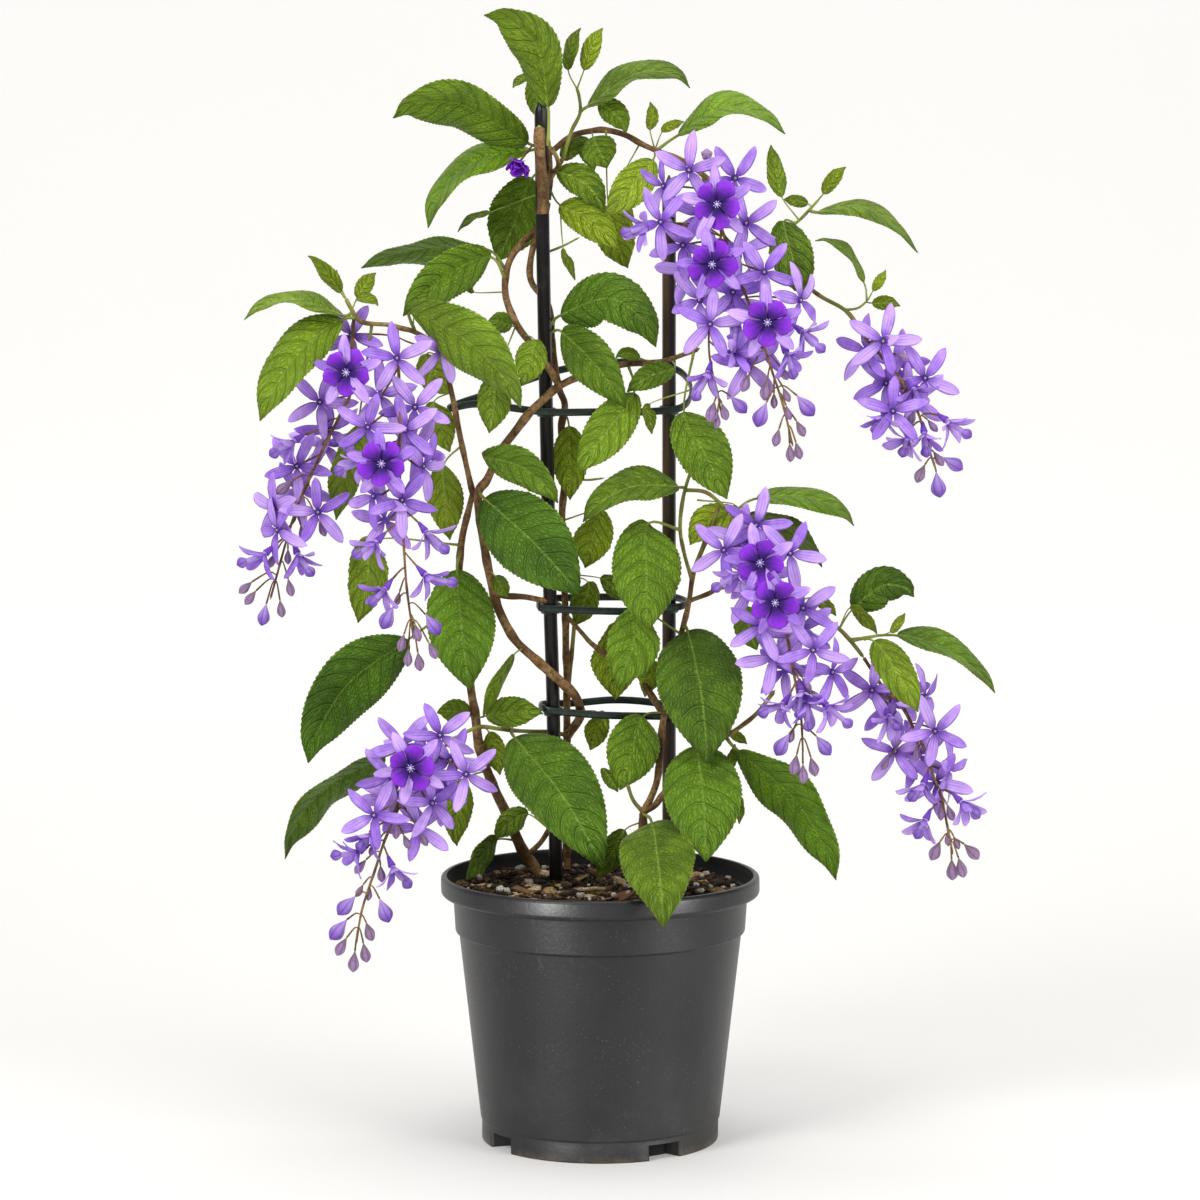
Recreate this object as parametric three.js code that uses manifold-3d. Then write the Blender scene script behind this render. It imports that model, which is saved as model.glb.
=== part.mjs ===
// A sandpaper vine in a nursery pot: two stakes tied by wire hoops, woody stems that twine up them, leafy
// shoots, and hanging racemes of star-shaped flowers. Millimetres, +Z up, and the viewer looks along +Y.
// The origin is the middle of the pot's underside.
//
// A place in the plant is three numbers: the column and the row of a pixel in a 1200 by 1200 picture of it,
// and the depth along +Y in mm at which it lies.
import * as THREE from "three";
import { mergeVertices } from "three/addons/utils/BufferGeometryUtils.js";
import Module from "manifold-3d";

const wasm = await Module();
wasm.setup();
const { clamp, degToRad, lerp } = THREE.MathUtils;

// The pinhole camera of that picture, in mm, degrees and pixels.
const CAMERA = { distance: 2700, height: 639, pitch: 6.3, focal: 4355, middle: 600 };
const PIXEL = CAMERA.distance / CAMERA.focal;

// Driving sizes in mm, and shares where a name says so.
const POT = {
  height: 168, rimRadius: 100, rimInner: 95.2, rimHeight: 11, bandHeight: 25, bandTop: 92.4, bandFoot: 91,
  wallTop: 88.8, wallFoot: 75.8, footRadius: 74.6, footHeight: 13, wall: 2.2, floor: 3,
  lipUnder: 1.5, lipSide: 1.2, lipTop: 2.2, lipCrown: 1.4, lipInner: 1.8,
  notches: 4, notchTurn: 33, notchHeight: 10, notchWidth: 22, notchReach: 6, sides: 26,
};
const SOIL = {
  level: 158.5, gap: 0.4, sides: 20, rings: 3, rimGap: 0.6, wallGap: 1, edge: 2, toeIn: 3, toeUp: 4,
  bump: 1.3, longWave: [0.19, 0.16], shortWave: [0.23, 0.31], shortShare: 0.6, hole: 0.4, holeSides: 8,
};
const CHIP = { count: 5, length: 15, width: 0.55, thick: 3, lift: 0.6, tilt: 0.25, turn: 2.4, inset: 12 };
const STAKE = { radius: 4.25, depth: 27, sides: 10, sunk: 90 };
const STEM = { sides: 5, thinSides: 4, thinBelow: 1.7, sunk: 28 };
const HOOP = { wire: 1.6, sides: 4, clipHeight: 5.5, clipWall: 1.7, clipGap: 0.35, clipSides: 8 };
const BLADE = {
  thick: 0.8, fold: 0.14, tooth: 0.05, spread: 1.08, widthShare: 0.44, mostTurn: 68,
  skew: 0.86, fullness: 0.62, drawnOut: 0.7, drawnPower: 7,
  ribs: [{ above: 62, at: [2, 4] }, { above: 32, at: [2] }, { above: 0, at: [1] }],
};
const HOOK = { middle: 0.18, at: 0.86, bow: 0.8 };
const STALK = { half: 0.9 };
const RACHIS = { root: 1, end: 0.7, sides: 3 };
const RACEME = {
  layers: [3, -4, 9, -9], open: 16, mostTurn: 8, turnShare: 0.35, down: 0.12, openDown: 0.05,
  steps: 60, hangSteps: 4, fewestSteps: 2,
};
const PEDICEL = { radius: 0.5, sides: 3 };
const CALYX = { radius: 23.5, outline: [[0.2, -36], [0.97, -9], [0.97, 9]], thick: 1, lift: -6 };
const BELL = {
  radius: 17, outline: [[0.36, -36], [1, 0]], thick: 1.1, lift: 52, down: 0.9, ahead: 2, spread: 4,
};
const COROLLA = {
  radius: 14.5, outline: [[0.36, -36], [0.97, -19], [0.97, 19]], thick: 1, lift: 22, gap: 0.4,
};
const BUD = { profile: [[0.04, 0.5], [0.72, 2.6]], past: 5, sides: 3, ahead: 3, spread: 6 };
const CORNET = { profile: [[0.05, 1.5], [0.7, 5.2]], past: 5, sides: 4, ahead: 6 };

// The steps of the repeatable draws.
const DRAW = { step: 12.9898, start: 4.1414, scale: 43758.5453 };

// The stakes, from the soil up, and the path of each hoop round them.
const STAKES = {
  stake_left: [[556, 880, 27], [553, 700, 27], [550, 600, 27], [547, 450, 27], [543, 250, 27], [541, 95, 27]],
  stake_right: [[669, 880, 27], [669, 500, 27], [669, 175, 27]],
};
const HOOPS = {
  hoop_upper: {
    clips: [["stake_left", 412], ["stake_right", 410]],
    path: [
      [452, 408, 22], [475, 404, 20.5], [505, 407, 20.5], [548, 412, 20.5], [600, 412, 20.5],
      [640, 412, 20.5], [669, 410, 20.5], [682, 407, 21.5], [690, 398, 32], [689, 382, 46],
      [672, 368, 60], [622, 362, 65], [560, 370, 64], [500, 390, 55], [460, 403, 40], [449, 408, 29],
    ],
  },
  hoop_middle: {
    clips: [["stake_left", 609], ["stake_right", 608]],
    path: [
      [539, 606, 24], [546, 608.5, 20.2], [600, 611, 20.5], [640, 611, 20.5], [669, 608, 20.5],
      [682, 606, 22], [687, 602, 34], [672, 597, 49], [640, 597, 52], [600, 597, 52], [560, 598, 50],
      [542, 601, 42], [538, 604, 32],
    ],
  },
  hoop_lower: {
    clips: [["stake_left", 711], ["stake_right", 715]],
    path: [
      [543, 708, 24], [553, 711, 20.5], [600, 715, 20.5], [640, 716, 20.5], [669, 716, 20.5],
      [681, 713, 24], [684, 709, 36], [668, 705, 49], [640, 701, 52], [610, 700, 52], [575, 703, 51],
      [545, 704, 43], [540, 706, 32],
    ],
  },
};

// Each leafy stem: its stems as a radius at the foot, a radius at the tip and a path, and its leaves as where
// the stalk leaves the stem, the blade's base, middle and tip, and the width seen in pixels.
const LEAFY = {
  climber_left: {
    stems: [
      [3.7, 1.9, [[535, 869, 55], [525, 855, 54], [517, 838, 52], [507, 815, 50], [493, 785, 46],
        [480, 750, 42], [476, 720, 38], [471, 690, 35], [466, 640, 33], [459, 590, 31], [462, 540, 30],
        [473, 492, 27]], "soil"],
      [1.9, 1.3, [[473, 494, 27], [465, 460, 22], [457, 420, 16], [450, 385, 8], [445, 365, 2],
        [435, 345, -6], [415, 332, -14], [400, 328, -20], [390, 325, -24], [362, 322, -29],
        [352, 310, -28], [345, 297, -27]]],
      [2, 1.5, [[524, 858, 54], [540, 843, 54], [551, 826, 54]]],
    ],
    leaves: [
      [[352, 312, -28], [342, 315, -30], [296, 302, -34], [244, 320, -36], 13],
      [[356, 318, -29], [342, 320, -30], [303, 352, -34], [260, 421, -40], 45],
      [[345, 298, -27], [341, 293, -27], [326, 272, -28], [308, 256, -28], 14],
      [[352, 310, -28], [357, 298, -26], [366, 284, -26], [376, 273, -26], 16],
      [[415, 332, -14], [412, 312, -19], [470, 346, -34], [521, 408, -38], 48],
      [[440, 355, -2], [427, 354, 6], [436, 374, 14], [450, 394, 20], 35],
      [[451, 392, 9], [434, 402, 16], [440, 425, 22], [450, 452, 24], 30],
      [[462, 445, 19], [444, 465, 24], [446, 502, 28], [450, 540, 28], 35],
      [[372, 323.5, -26.5], [358, 425, 16], [346, 470, 22], [336, 520, 22], 30],
      [[461, 545, 30], [377, 540, 32], [368, 580, 32], [358, 623, 28], 38],
      [[461, 600, 31], [408, 640, 32], [352, 684, 28], [308, 763, 20], 60],
      [[461, 550, 30], [457, 570, 22], [462, 628, 10], [470, 690, 4], 65],
      [[476, 720, 38], [470, 716, 34], [454, 712, 28], [437, 713, 24], 25],
      [[476, 719, 38], [486, 716, 32], [516, 712, 20], [543, 714, 11], 30],
      [[514, 840, 51], [497, 840, 44], [482, 856, 26], [466, 880, 6], 22],
      [[549, 829, 54], [528, 814, 50], [512, 822, 44], [495, 840, 38], 24],
      [[488, 770, 45], [465, 780, 40], [458, 812, 34], [457, 846, 30], 28],
      [[477, 724, 39], [489, 732, 43], [495, 753, 47], [500, 775, 48], 22],
    ],
  },
  climber_main: {
    stems: [
      [2.3, 2.0, [[567, 868, 60], [566, 800, 52], [567, 720, 43], [565, 600, 41], [562, 520, 40],
        [565, 470, 40], [561, 430, 40], [565, 405, 41], [558, 385, 40], [552, 340, 40], [551, 318, 39],
        [545, 300, 38], [532, 283, 38], [530, 265, 38], [535, 240, 38], [545, 215, 38], [548, 200, 37]],
        "soil"],
      [1.3, 1.3, [[566, 572, 41], [575, 600, 44], [572, 650, 44], [567, 705, 43]]],
      [3.0, 2.4, [[568, 735, 43], [580, 716, 34], [576, 697, 22], [562, 683, 15], [540, 663, 14],
        [515, 640, 18], [500, 612, 22], [493, 590, 22], [485, 550, 20], [478, 497, 18], [487, 480, 16],
        [500, 452, 12], [515, 432, 10], [530, 412, 10], [545, 398, 12], [560, 385, 14]]],
      [2.4, 1.4, [[557, 387, 14], [575, 378, 16], [595, 372, 15], [625, 364, 14], [660, 362, 13],
        [690, 352, 12], [700, 348, 10]]],
      [2.2, 2.1, [[560, 386, 14], [550, 370, 14], [538, 352, 14], [520, 330, 20], [510, 310, 26],
        [505, 290, 30], [508, 265, 34], [520, 245, 38], [538, 228, 39], [547, 210, 38]]],
    ],
    leaves: [
      [[507, 272, 33], [487, 250, 42], [425, 250, 46], [361, 268, 42], 18],
      [[506, 280, 31], [490, 257, 26], [450, 275, 14], [403, 316, 2], 42],
      [[516, 325, 21], [497, 375, 4], [494, 403, 0], [489, 433, -2], 32],
      [[480, 492, 18], [485, 499, 10], [530, 540, -8], [580, 596, -14], 72],
      [[494, 464, 14], [484, 457, 6], [520, 468, -2], [558, 503, -6], 34],
      [[524, 648, 16], [514, 655, 8], [497, 684, 2], [483, 718, -2], 12],
      [[552, 325, 39], [561, 315, 24], [612, 296, 8], [656, 347, 0], 50],
      [[552, 332, 39], [562, 332, 20], [592, 362, 2], [626, 408, -4], 42],
      [[524, 335, 18], [534, 340, 6], [530, 362, 0], [522, 385, -2], 30],
      [[628, 364, 14], [634, 393, 6], [608, 430, 0], [576, 472, -2], 42],
      [[672, 360, 13], [674, 368, 6], [652, 376, 2], [627, 392, 0], 24],
      [[694, 350, 11], [684, 412, 0], [704, 452, -10], [727, 499, -14], 50],
      [[565, 412, 41], [569, 426, 38], [570, 460, 37], [570, 500, 37], 34],
      [[564, 520, 40], [597, 512, 46], [592, 540, 48], [585, 568, 48], 38],
      [[565, 574, 41], [588, 582, 36], [584, 602, 35], [576, 625, 35], 28],
      [[568, 712, 43], [598, 712, 40], [596, 730, 38], [590, 750, 38], 24],
    ],
  },
  crown: {
    stems: [
      [2.0, 1.8, [[548, 200, 37, 0.6], [550, 180, 37], [549, 155, 37], [545, 130, 37]]],
      [1.4, 0.9, [[550, 180, 37], [562, 160, 36], [567, 145, 35], [572, 130, 34], [580, 113, 33],
        [579, 96, 32], [576, 86, 32]]],
    ],
    leaves: [
      [[548, 146, 37], [548, 107, 38], [534, 50, 24], [484, 15, 10], 42],
      [[577, 89, 32], [568, 70, 31], [572, 48, 28], [581, 28, 26], 14],
      [[577, 89, 32], [584, 70, 30], [592, 48, 26], [603, 28, 24], 18],
      [[546, 134, 37], [536, 78, 46], [537, 98, 50], [540, 120, 50], 22],
      [[547, 146, 37], [527, 143, 39], [462, 109, 28], [393, 118, 18], 43],
      [[548, 150, 37], [530, 150, 40], [472, 168, 34], [428, 228, 26], 30],
      [[550, 168, 37], [532, 178, 42], [518, 214, 50], [497, 262, 48], 55],
      [[550, 178, 37], [557, 172, 32], [582, 183, 24], [603, 212, 18], 30],
      [[552, 176, 37], [562, 160, 44], [578, 152, 48], [594, 172, 46], 26],
      [[549, 188, 37], [560, 205, 32], [587, 219, 24], [617, 250, 18], 35],
      [[580, 112, 33], [588, 106, 28], [637, 78, 20], [690, 88, 12], 25],
      [[580, 110, 33], [598, 104, 25], [614, 114, 20], [626, 133, 16], 24],
    ],
  },
  arch_shoot: {
    stems: [
      [1.9, 1.2, [[550, 153, 37, 2.3], [572, 136, 41], [590, 131, 38], [605, 130, 34], [625, 135, 30],
        [640, 143, 28], [655, 150, 26], [690, 165, 22], [730, 200, 16], [770, 245, 10], [812, 290, 4],
        [845, 310, 0], [860, 330, -4], [865, 338, -5]]],
      [1.2, 0.8, [[768, 243, 10], [797, 222, 6], [811, 208, 4], [820, 198, 3]]],
      [0.9, 0.7, [[845, 310, 0], [858, 308, -1], [868, 300, -2]]],
    ],
    leaves: [
      [[606, 130, 32], [608, 205, 44], [616, 236, 50], [628, 268, 52], 38],
      [[655, 150, 26], [653, 160, 20], [634, 184, 12], [605, 216, 6], 35],
      [[592, 131, 38], [593, 137, 30], [599, 150, 26], [607, 168, 24], 34],
      [[656, 151, 26], [678, 135, 22], [724, 112, 14], [785, 134, 6], 26],
      [[799, 220, 6], [782, 197, 8], [775, 170, 8], [771, 145, 6], 18],
      [[819, 199, 3], [823, 194, 2], [833, 180, 0], [846, 167, -2], 14],
      [[810, 210, 4], [818, 212, 0], [862, 211, -8], [918, 253, -14], 16],
      [[796, 223, 6], [784, 222, -4], [793, 258, -12], [807, 298, -16], 40],
      [[867, 301, -2], [864, 282, -4], [846, 254, -8], [815, 241, -10], 9],
      [[868, 300, -2], [873, 291, -2], [880, 280, -3], [886, 270, -4], 10],
      [[866, 302, -2], [872, 303, -4], [886, 303, -8], [900, 306, -10], 14],
    ],
  },
  climber_right: {
    stems: [
      [2.9, 2.5, [[646, 890, -8], [645, 868, -9], [643, 840, -11], [643, 810, -12]], "soil"],
      [2.3, 1.3, [[643, 814, -12], [650, 800, -10], [657, 780, -4], [660, 755, 4], [663, 720, 11],
        [672, 680, 12], [680, 640, 13], [688, 607, 13], [693, 575, 12], [700, 555, 10], [708, 535, 8],
        [719, 506, 1]]],
      [1.4, 1.1, [[643, 812, -12], [633, 800, -12], [627, 783, -12]]],
      [2.1, 1.2, [[643, 812, -12], [655, 805, -14], [665, 792, -14], [680, 785, -14], [700, 757, -16],
        [718, 742, -18], [740, 727, -20], [758, 712, -20], [775, 690, -20]]],
      [1.2, 1.4, [[583, 632, 41], [592, 642, 39], [612, 658, 34], [635, 670, 26], [645, 685, 18],
        [662, 712, 11]]],
      [1.3, 1.0, [[692, 580, 12], [684, 552, 10], [680, 525, 8], [685, 490, 6], [697, 455, 4]]],
      [1.3, 1.1, [[684, 490, 6], [705, 492, 3], [720, 503, 0], [738, 519, -7]]],
    ],
    leaves: [
      [[643, 814, -12], [652, 823, -34], [659, 872, -84], [663, 928, -112], 70],
      [[702, 755, -16], [698, 750, -22], [703, 800, -44], [706, 862, -60], 73],
      [[683, 628, 13], [688, 632, 6], [700, 690, -24], [706, 763, -40], 80],
      [[726, 737, -18], [738, 751, -20], [792, 800, -24], [836, 880, -30], 45],
      [[662, 712, 11], [643, 717, 4], [632, 752, -6], [620, 790, -10], 50],
      [[641, 822, -12], [625, 830, -14], [612, 853, -15], [597, 879, -15], 25],
      [[681, 530, 8], [648, 524, 0], [647, 575, -14], [649, 630, -18], 65],
      [[681, 634, 13], [643, 613, 4], [632, 648, -6], [617, 687, -10], 50],
      [[686, 489, 6], [678, 487, 0], [632, 490, -10], [583, 522, -14], 32],
      [[600, 648, 37], [612, 624, 40], [615, 664, 42], [615, 700, 42], 48],
      [[733, 513, -3], [757, 498, -10], [808, 500, -16], [854, 526, -20], 22],
      [[728, 510, -2], [748, 514, 2], [786, 530, 6], [822, 567, 8], 22],
    ],
  },
  shoot_right: {
    stems: [
      [1.5, 1.2, [[689, 601, 12.8, 2.7], [708, 594, 13], [720, 588, 12], [745, 585, 10], [780, 590, 4],
        [815, 612, -4], [838, 628, -9], [850, 640, -12], [864, 658, -15]]],
    ],
    leaves: [
      [[745, 585, 10], [746, 606, 12], [750, 628, 14], [757, 650, 14], 30],
      [[839, 629, -9], [853, 609, -8], [882, 589, -12], [914, 597, -18], 38],
      [[850, 640, -12], [897, 635, -12], [946, 652, -16], [995, 693, -20], 22],
      [[851, 641, -12], [874, 641, -32], [896, 672, -46], [918, 712, -50], 34],
    ],
  },
  shoot_left: {
    stems: [
      [1.4, 1.1, [[567, 735, 43.4, 2.6], [548, 732, 41], [520, 731, 36], [500, 729, 27], [480, 727, 14],
        [462, 734, 2], [456, 739, -4]]],
    ],
    leaves: [
      [[512, 730, 33], [515, 738, 22], [558, 792, -14], [603, 870, -34], 72],
      [[458, 737, -2], [385, 757, 12], [326, 792, 4], [285, 859, -4], 28],
    ],
  },
};

// Each raceme: the path of its axis, the stars with the angle of their first lobe and how far they are turned
// sideways, in degrees, the flowers that hold an open corolla, the half-open ones with the place where their
// corolla peeps out, and the buds.
const RACEMES = {
  raceme_a: {
    axis: [[397, 327, -21, 1.7], [399, 380, -34], [400, 430, -38], [400, 500, -38], [403, 535, -38],
      [407, 590, -38], [413, 622, -38]],
    stars: [[397, 358, 23], [415, 407, 45], [368, 427, 4], [423, 466, 0, 50], [402, 500, 50]],
    open: [[347, 372, 20], [382, 463, 19]],
    bells: [[378, 537, 360, 555], [425, 527], [425, 572, 452, 580], [385, 595], [352, 462]],
    buds: [[388, 617], [432, 626], [403, 642], [421, 661]],
  },
  raceme_b: {
    axis: [[354, 312.5, -28.2, 2.6], [351, 370, -16], [350, 395, -12], [340, 415, -8], [318, 460, -4],
      [300, 500, -4], [288, 535, -4], [277, 575, -4], [273, 592, -4]],
    stars: [[320, 402, 67], [297, 466, 60], [318, 512, 24]],
    open: [],
    bells: [[262, 551, 242, 560], [305, 563]],
    buds: [[264, 614], [281, 610], [254, 594]],
  },
  raceme_c: {
    axis: [[703, 176.4, 20, 2.2], [712, 200, -14], [722, 230, -34], [738, 275, -42], [757, 325, -46],
      [770, 365, -46], [783, 405, -46], [790, 440, -46]],
    stars: [
      [689, 170, 12], [746, 223, 36], [661, 222, 48, -20], [683, 245, 55], [764, 272, 56],
      [733, 292, 12], [710, 324, 10], [746, 364, 29],
    ],
    open: [[717, 204, 26], [712, 264, 30], [767, 322, 22]],
    bells: [[797, 332, 820, 350], [708, 372]],
    buds: [[735, 402], [713, 412], [765, 417], [804, 407], [778, 442], [796, 456]],
  },
  raceme_d: {
    axis: [[865, 338, -5, 0.9], [885, 360, -8], [897, 375, -10], [908, 393, -10], [918, 412, -10],
      [928, 445, -10]],
    stars: [[883, 341, 3], [925, 378, 48], [893, 411, 20]],
    open: [],
    bells: [[947, 420, 966, 432], [880, 424], [906, 445]],
    buds: [[952, 463], [924, 470], [939, 482], [914, 452]],
  },
  raceme_e: {
    axis: [[738, 519, -7, 0.5], [755, 540, -20], [768, 575, -34], [779, 606, -43], [788, 640, -48],
      [792, 665, -48], [797, 690, -48], [801, 715, -48], [803, 740, -48]],
    stars: [
      [724, 550, 66], [756, 525, 0], [790, 553, 64], [803, 608, 37], [762, 628, 0], [773, 657, 48],
      [813, 650, 50],
    ],
    open: [[760, 562, 30], [775, 602, 24]],
    bells: [[775, 700], [825, 703, 845, 720]],
    buds: [[783, 745], [823, 745], [792, 765], [813, 766]],
  },
  raceme_f: {
    axis: [[864, 658, -15, 0.5], [885, 690, -20], [900, 702, -20], [913, 727, -20], [925, 750, -20],
      [935, 780, -20], [942, 800, -20], [950, 832, -20]],
    stars: [[872, 690, 5], [895, 751, 17], [935, 731, 48], [948, 770, 10, 60], [925, 697, 40, 60]],
    open: [],
    bells: [[915, 790], [960, 801, 975, 812], [925, 825]],
    buds: [[936, 850], [971, 850], [956, 868]],
  },
  raceme_g: {
    axis: [[456, 739, -4, 0.5], [440, 750, -22], [425, 765, -40], [405, 795, -48], [385, 840, -48],
      [375, 870, -48], [362, 910, -48], [358, 930, -48]],
    stars: [
      [440, 735, 38], [403, 745, 56], [466, 774, 41], [390, 776, 54], [432, 803, 28], [419, 827, 38],
      [374, 815, 62],
    ],
    open: [[411, 767, 42]],
    bells: [[355, 853, 335, 852], [395, 868]],
    buds: [[347, 906], [383, 912], [341, 947], [369, 934], [354, 962]],
  },
};

const material = (colour, roughness) =>
  new THREE.MeshStandardMaterial({ color: colour, roughness: roughness, metalness: 0 });
const MATERIALS = {
  pot: material(0x35363a, 0.55),
  soil: material(0x4a3020, 0.95),
  stake: material(0x2b2622, 0.4),
  hoop: material(0x12382a, 0.45),
  leaf: material(0x4f8a22, 0.6),
  calyx: material(0x9a78e0, 0.6),
  corolla: material(0x5a0fc0, 0.6),
};

// Where the picture's pixel lies at its depth.
function seen([column, row, depth]) {
  const pitch = degToRad(CAMERA.pitch);
  const right = (column - CAMERA.middle) / CAMERA.focal;
  const up = (CAMERA.middle - row) / CAMERA.focal;
  const ray = new THREE.Vector3(
    right,
    Math.cos(pitch) + up * Math.sin(pitch),
    up * Math.cos(pitch) - Math.sin(pitch),
  );
  ray.multiplyScalar((CAMERA.distance + depth) / ray.y);
  return ray.add(new THREE.Vector3(0, -CAMERA.distance, CAMERA.height));
}

// Directions: to the viewer, and the one that no stem follows, from which a stem's cross-section is turned.
const VIEWER = new THREE.Vector3(0, -1, 0.1).normalize();
const UP = new THREE.Vector3(0, 0, 1);
const BACKWARD = new THREE.Vector3(0.13, 1, 0.07).normalize();

// A smooth curve through points, and one that goes straight from each point to the next.
const smooth = (points, closed = false) => new THREE.CatmullRomCurve3(points, closed, "catmullrom", 0.5);
const straight = (points) => new THREE.CatmullRomCurve3(points, false, "catmullrom", 0);

// The points of a path. A fourth number in its first place is how far from there it starts, clear of the
// stem that carries it.
function pointsOf(path) {
  const [first, second, ...rest] = path.map(seen);
  const clear = path[0][3] ?? 0;
  return [first.clone().lerp(second, clear / first.distanceTo(second)), second, ...rest];
}

// A repeatable number from 0 to 1 for each whole seed.
function chance(seed) {
  const wave = Math.sin(seed * DRAW.step + DRAW.start) * DRAW.scale;
  return wave - Math.floor(wave);
}

// A closed geometry as a solid: the vertices that its faces share are merged first.
function solidOf(geometry) {
  const bare = new THREE.BufferGeometry();
  bare.setAttribute("position", geometry.getAttribute("position").clone());
  if (geometry.index) bare.setIndex(geometry.index.clone());
  const merged = mergeVertices(bare, 1e-4);
  return new wasm.Manifold(
    new wasm.Mesh({
      numProp: 3,
      vertProperties: new Float32Array(merged.attributes.position.array),
      triVerts: new Uint32Array(merged.index.array),
    }),
  );
}

const joined = (solids) => wasm.Manifold.union(solids);

// A geometry from a list of points and a list of triangles.
function geometryOf(points, triangles) {
  const geometry = new THREE.BufferGeometry().setFromPoints(points);
  geometry.setIndex(triangles.flat());
  return geometry;
}

// A named mesh from a solid.
function meshOf(name, solid, look) {
  const made = solid.getMesh();
  const geometry = new THREE.BufferGeometry();
  geometry.setAttribute("position", new THREE.BufferAttribute(made.vertProperties, made.numProp));
  geometry.setIndex(new THREE.BufferAttribute(made.triVerts, 1));
  geometry.computeVertexNormals();
  const mesh = new THREE.Mesh(geometry, look);
  mesh.name = name;
  return mesh;
}

// A ring of points round a middle, square to a direction.
function ringRound(middle, direction, radius, sides, reference) {
  const across = new THREE.Vector3().crossVectors(direction, reference).normalize();
  const over = new THREE.Vector3().crossVectors(direction, across).normalize();
  return Array.from({ length: sides }, (_, k) => {
    const angle = (2 * Math.PI * k) / sides;
    return middle.clone()
      .addScaledVector(across, radius * Math.cos(angle))
      .addScaledVector(over, radius * Math.sin(angle));
  });
}

// The skin between rings of points. Open rings are closed by flat ends, and closed ones run round in a ring.
function skin(rings, closed = false) {
  const sides = rings[0].length;
  const triangles = [];
  for (let i = 0; i < rings.length - (closed ? 0 : 1); i++)
    for (let k = 0; k < sides; k++) {
      const near = i * sides;
      const far = ((i + 1) % rings.length) * sides;
      const next = (k + 1) % sides;
      triangles.push([near + k, near + next, far + next], [near + k, far + next, far + k]);
    }
  const last = (rings.length - 1) * sides;
  for (let k = 1; k < sides - 1 && !closed; k++) {
    triangles.push([0, k + 1, k], [last, last + k, last + k + 1]);
  }
  return solidOf(geometryOf(rings.flat(), triangles));
}

// A round bar with a ring at each of its points, square to the smooth curve through them, whose radius goes
// from start to end.
function bar(points, start, end, sides, { reference = BACKWARD, closed = false } = {}) {
  const curve = smooth(points, closed);
  const last = points.length - (closed ? 0 : 1);
  return skin(
    points.map((point, i) =>
      ringRound(point, curve.getTangent(i / last), lerp(start, end, i / last), sides, reference)),
    closed,
  );
}

// A blade's half width at a share of its length: full round the middle and drawn out into a short tip.
const bladeShape = (share) =>
  Math.sin(Math.PI * share ** BLADE.skew) ** BLADE.fullness *
  (1 - BLADE.drawnOut * share ** BLADE.drawnPower);

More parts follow.
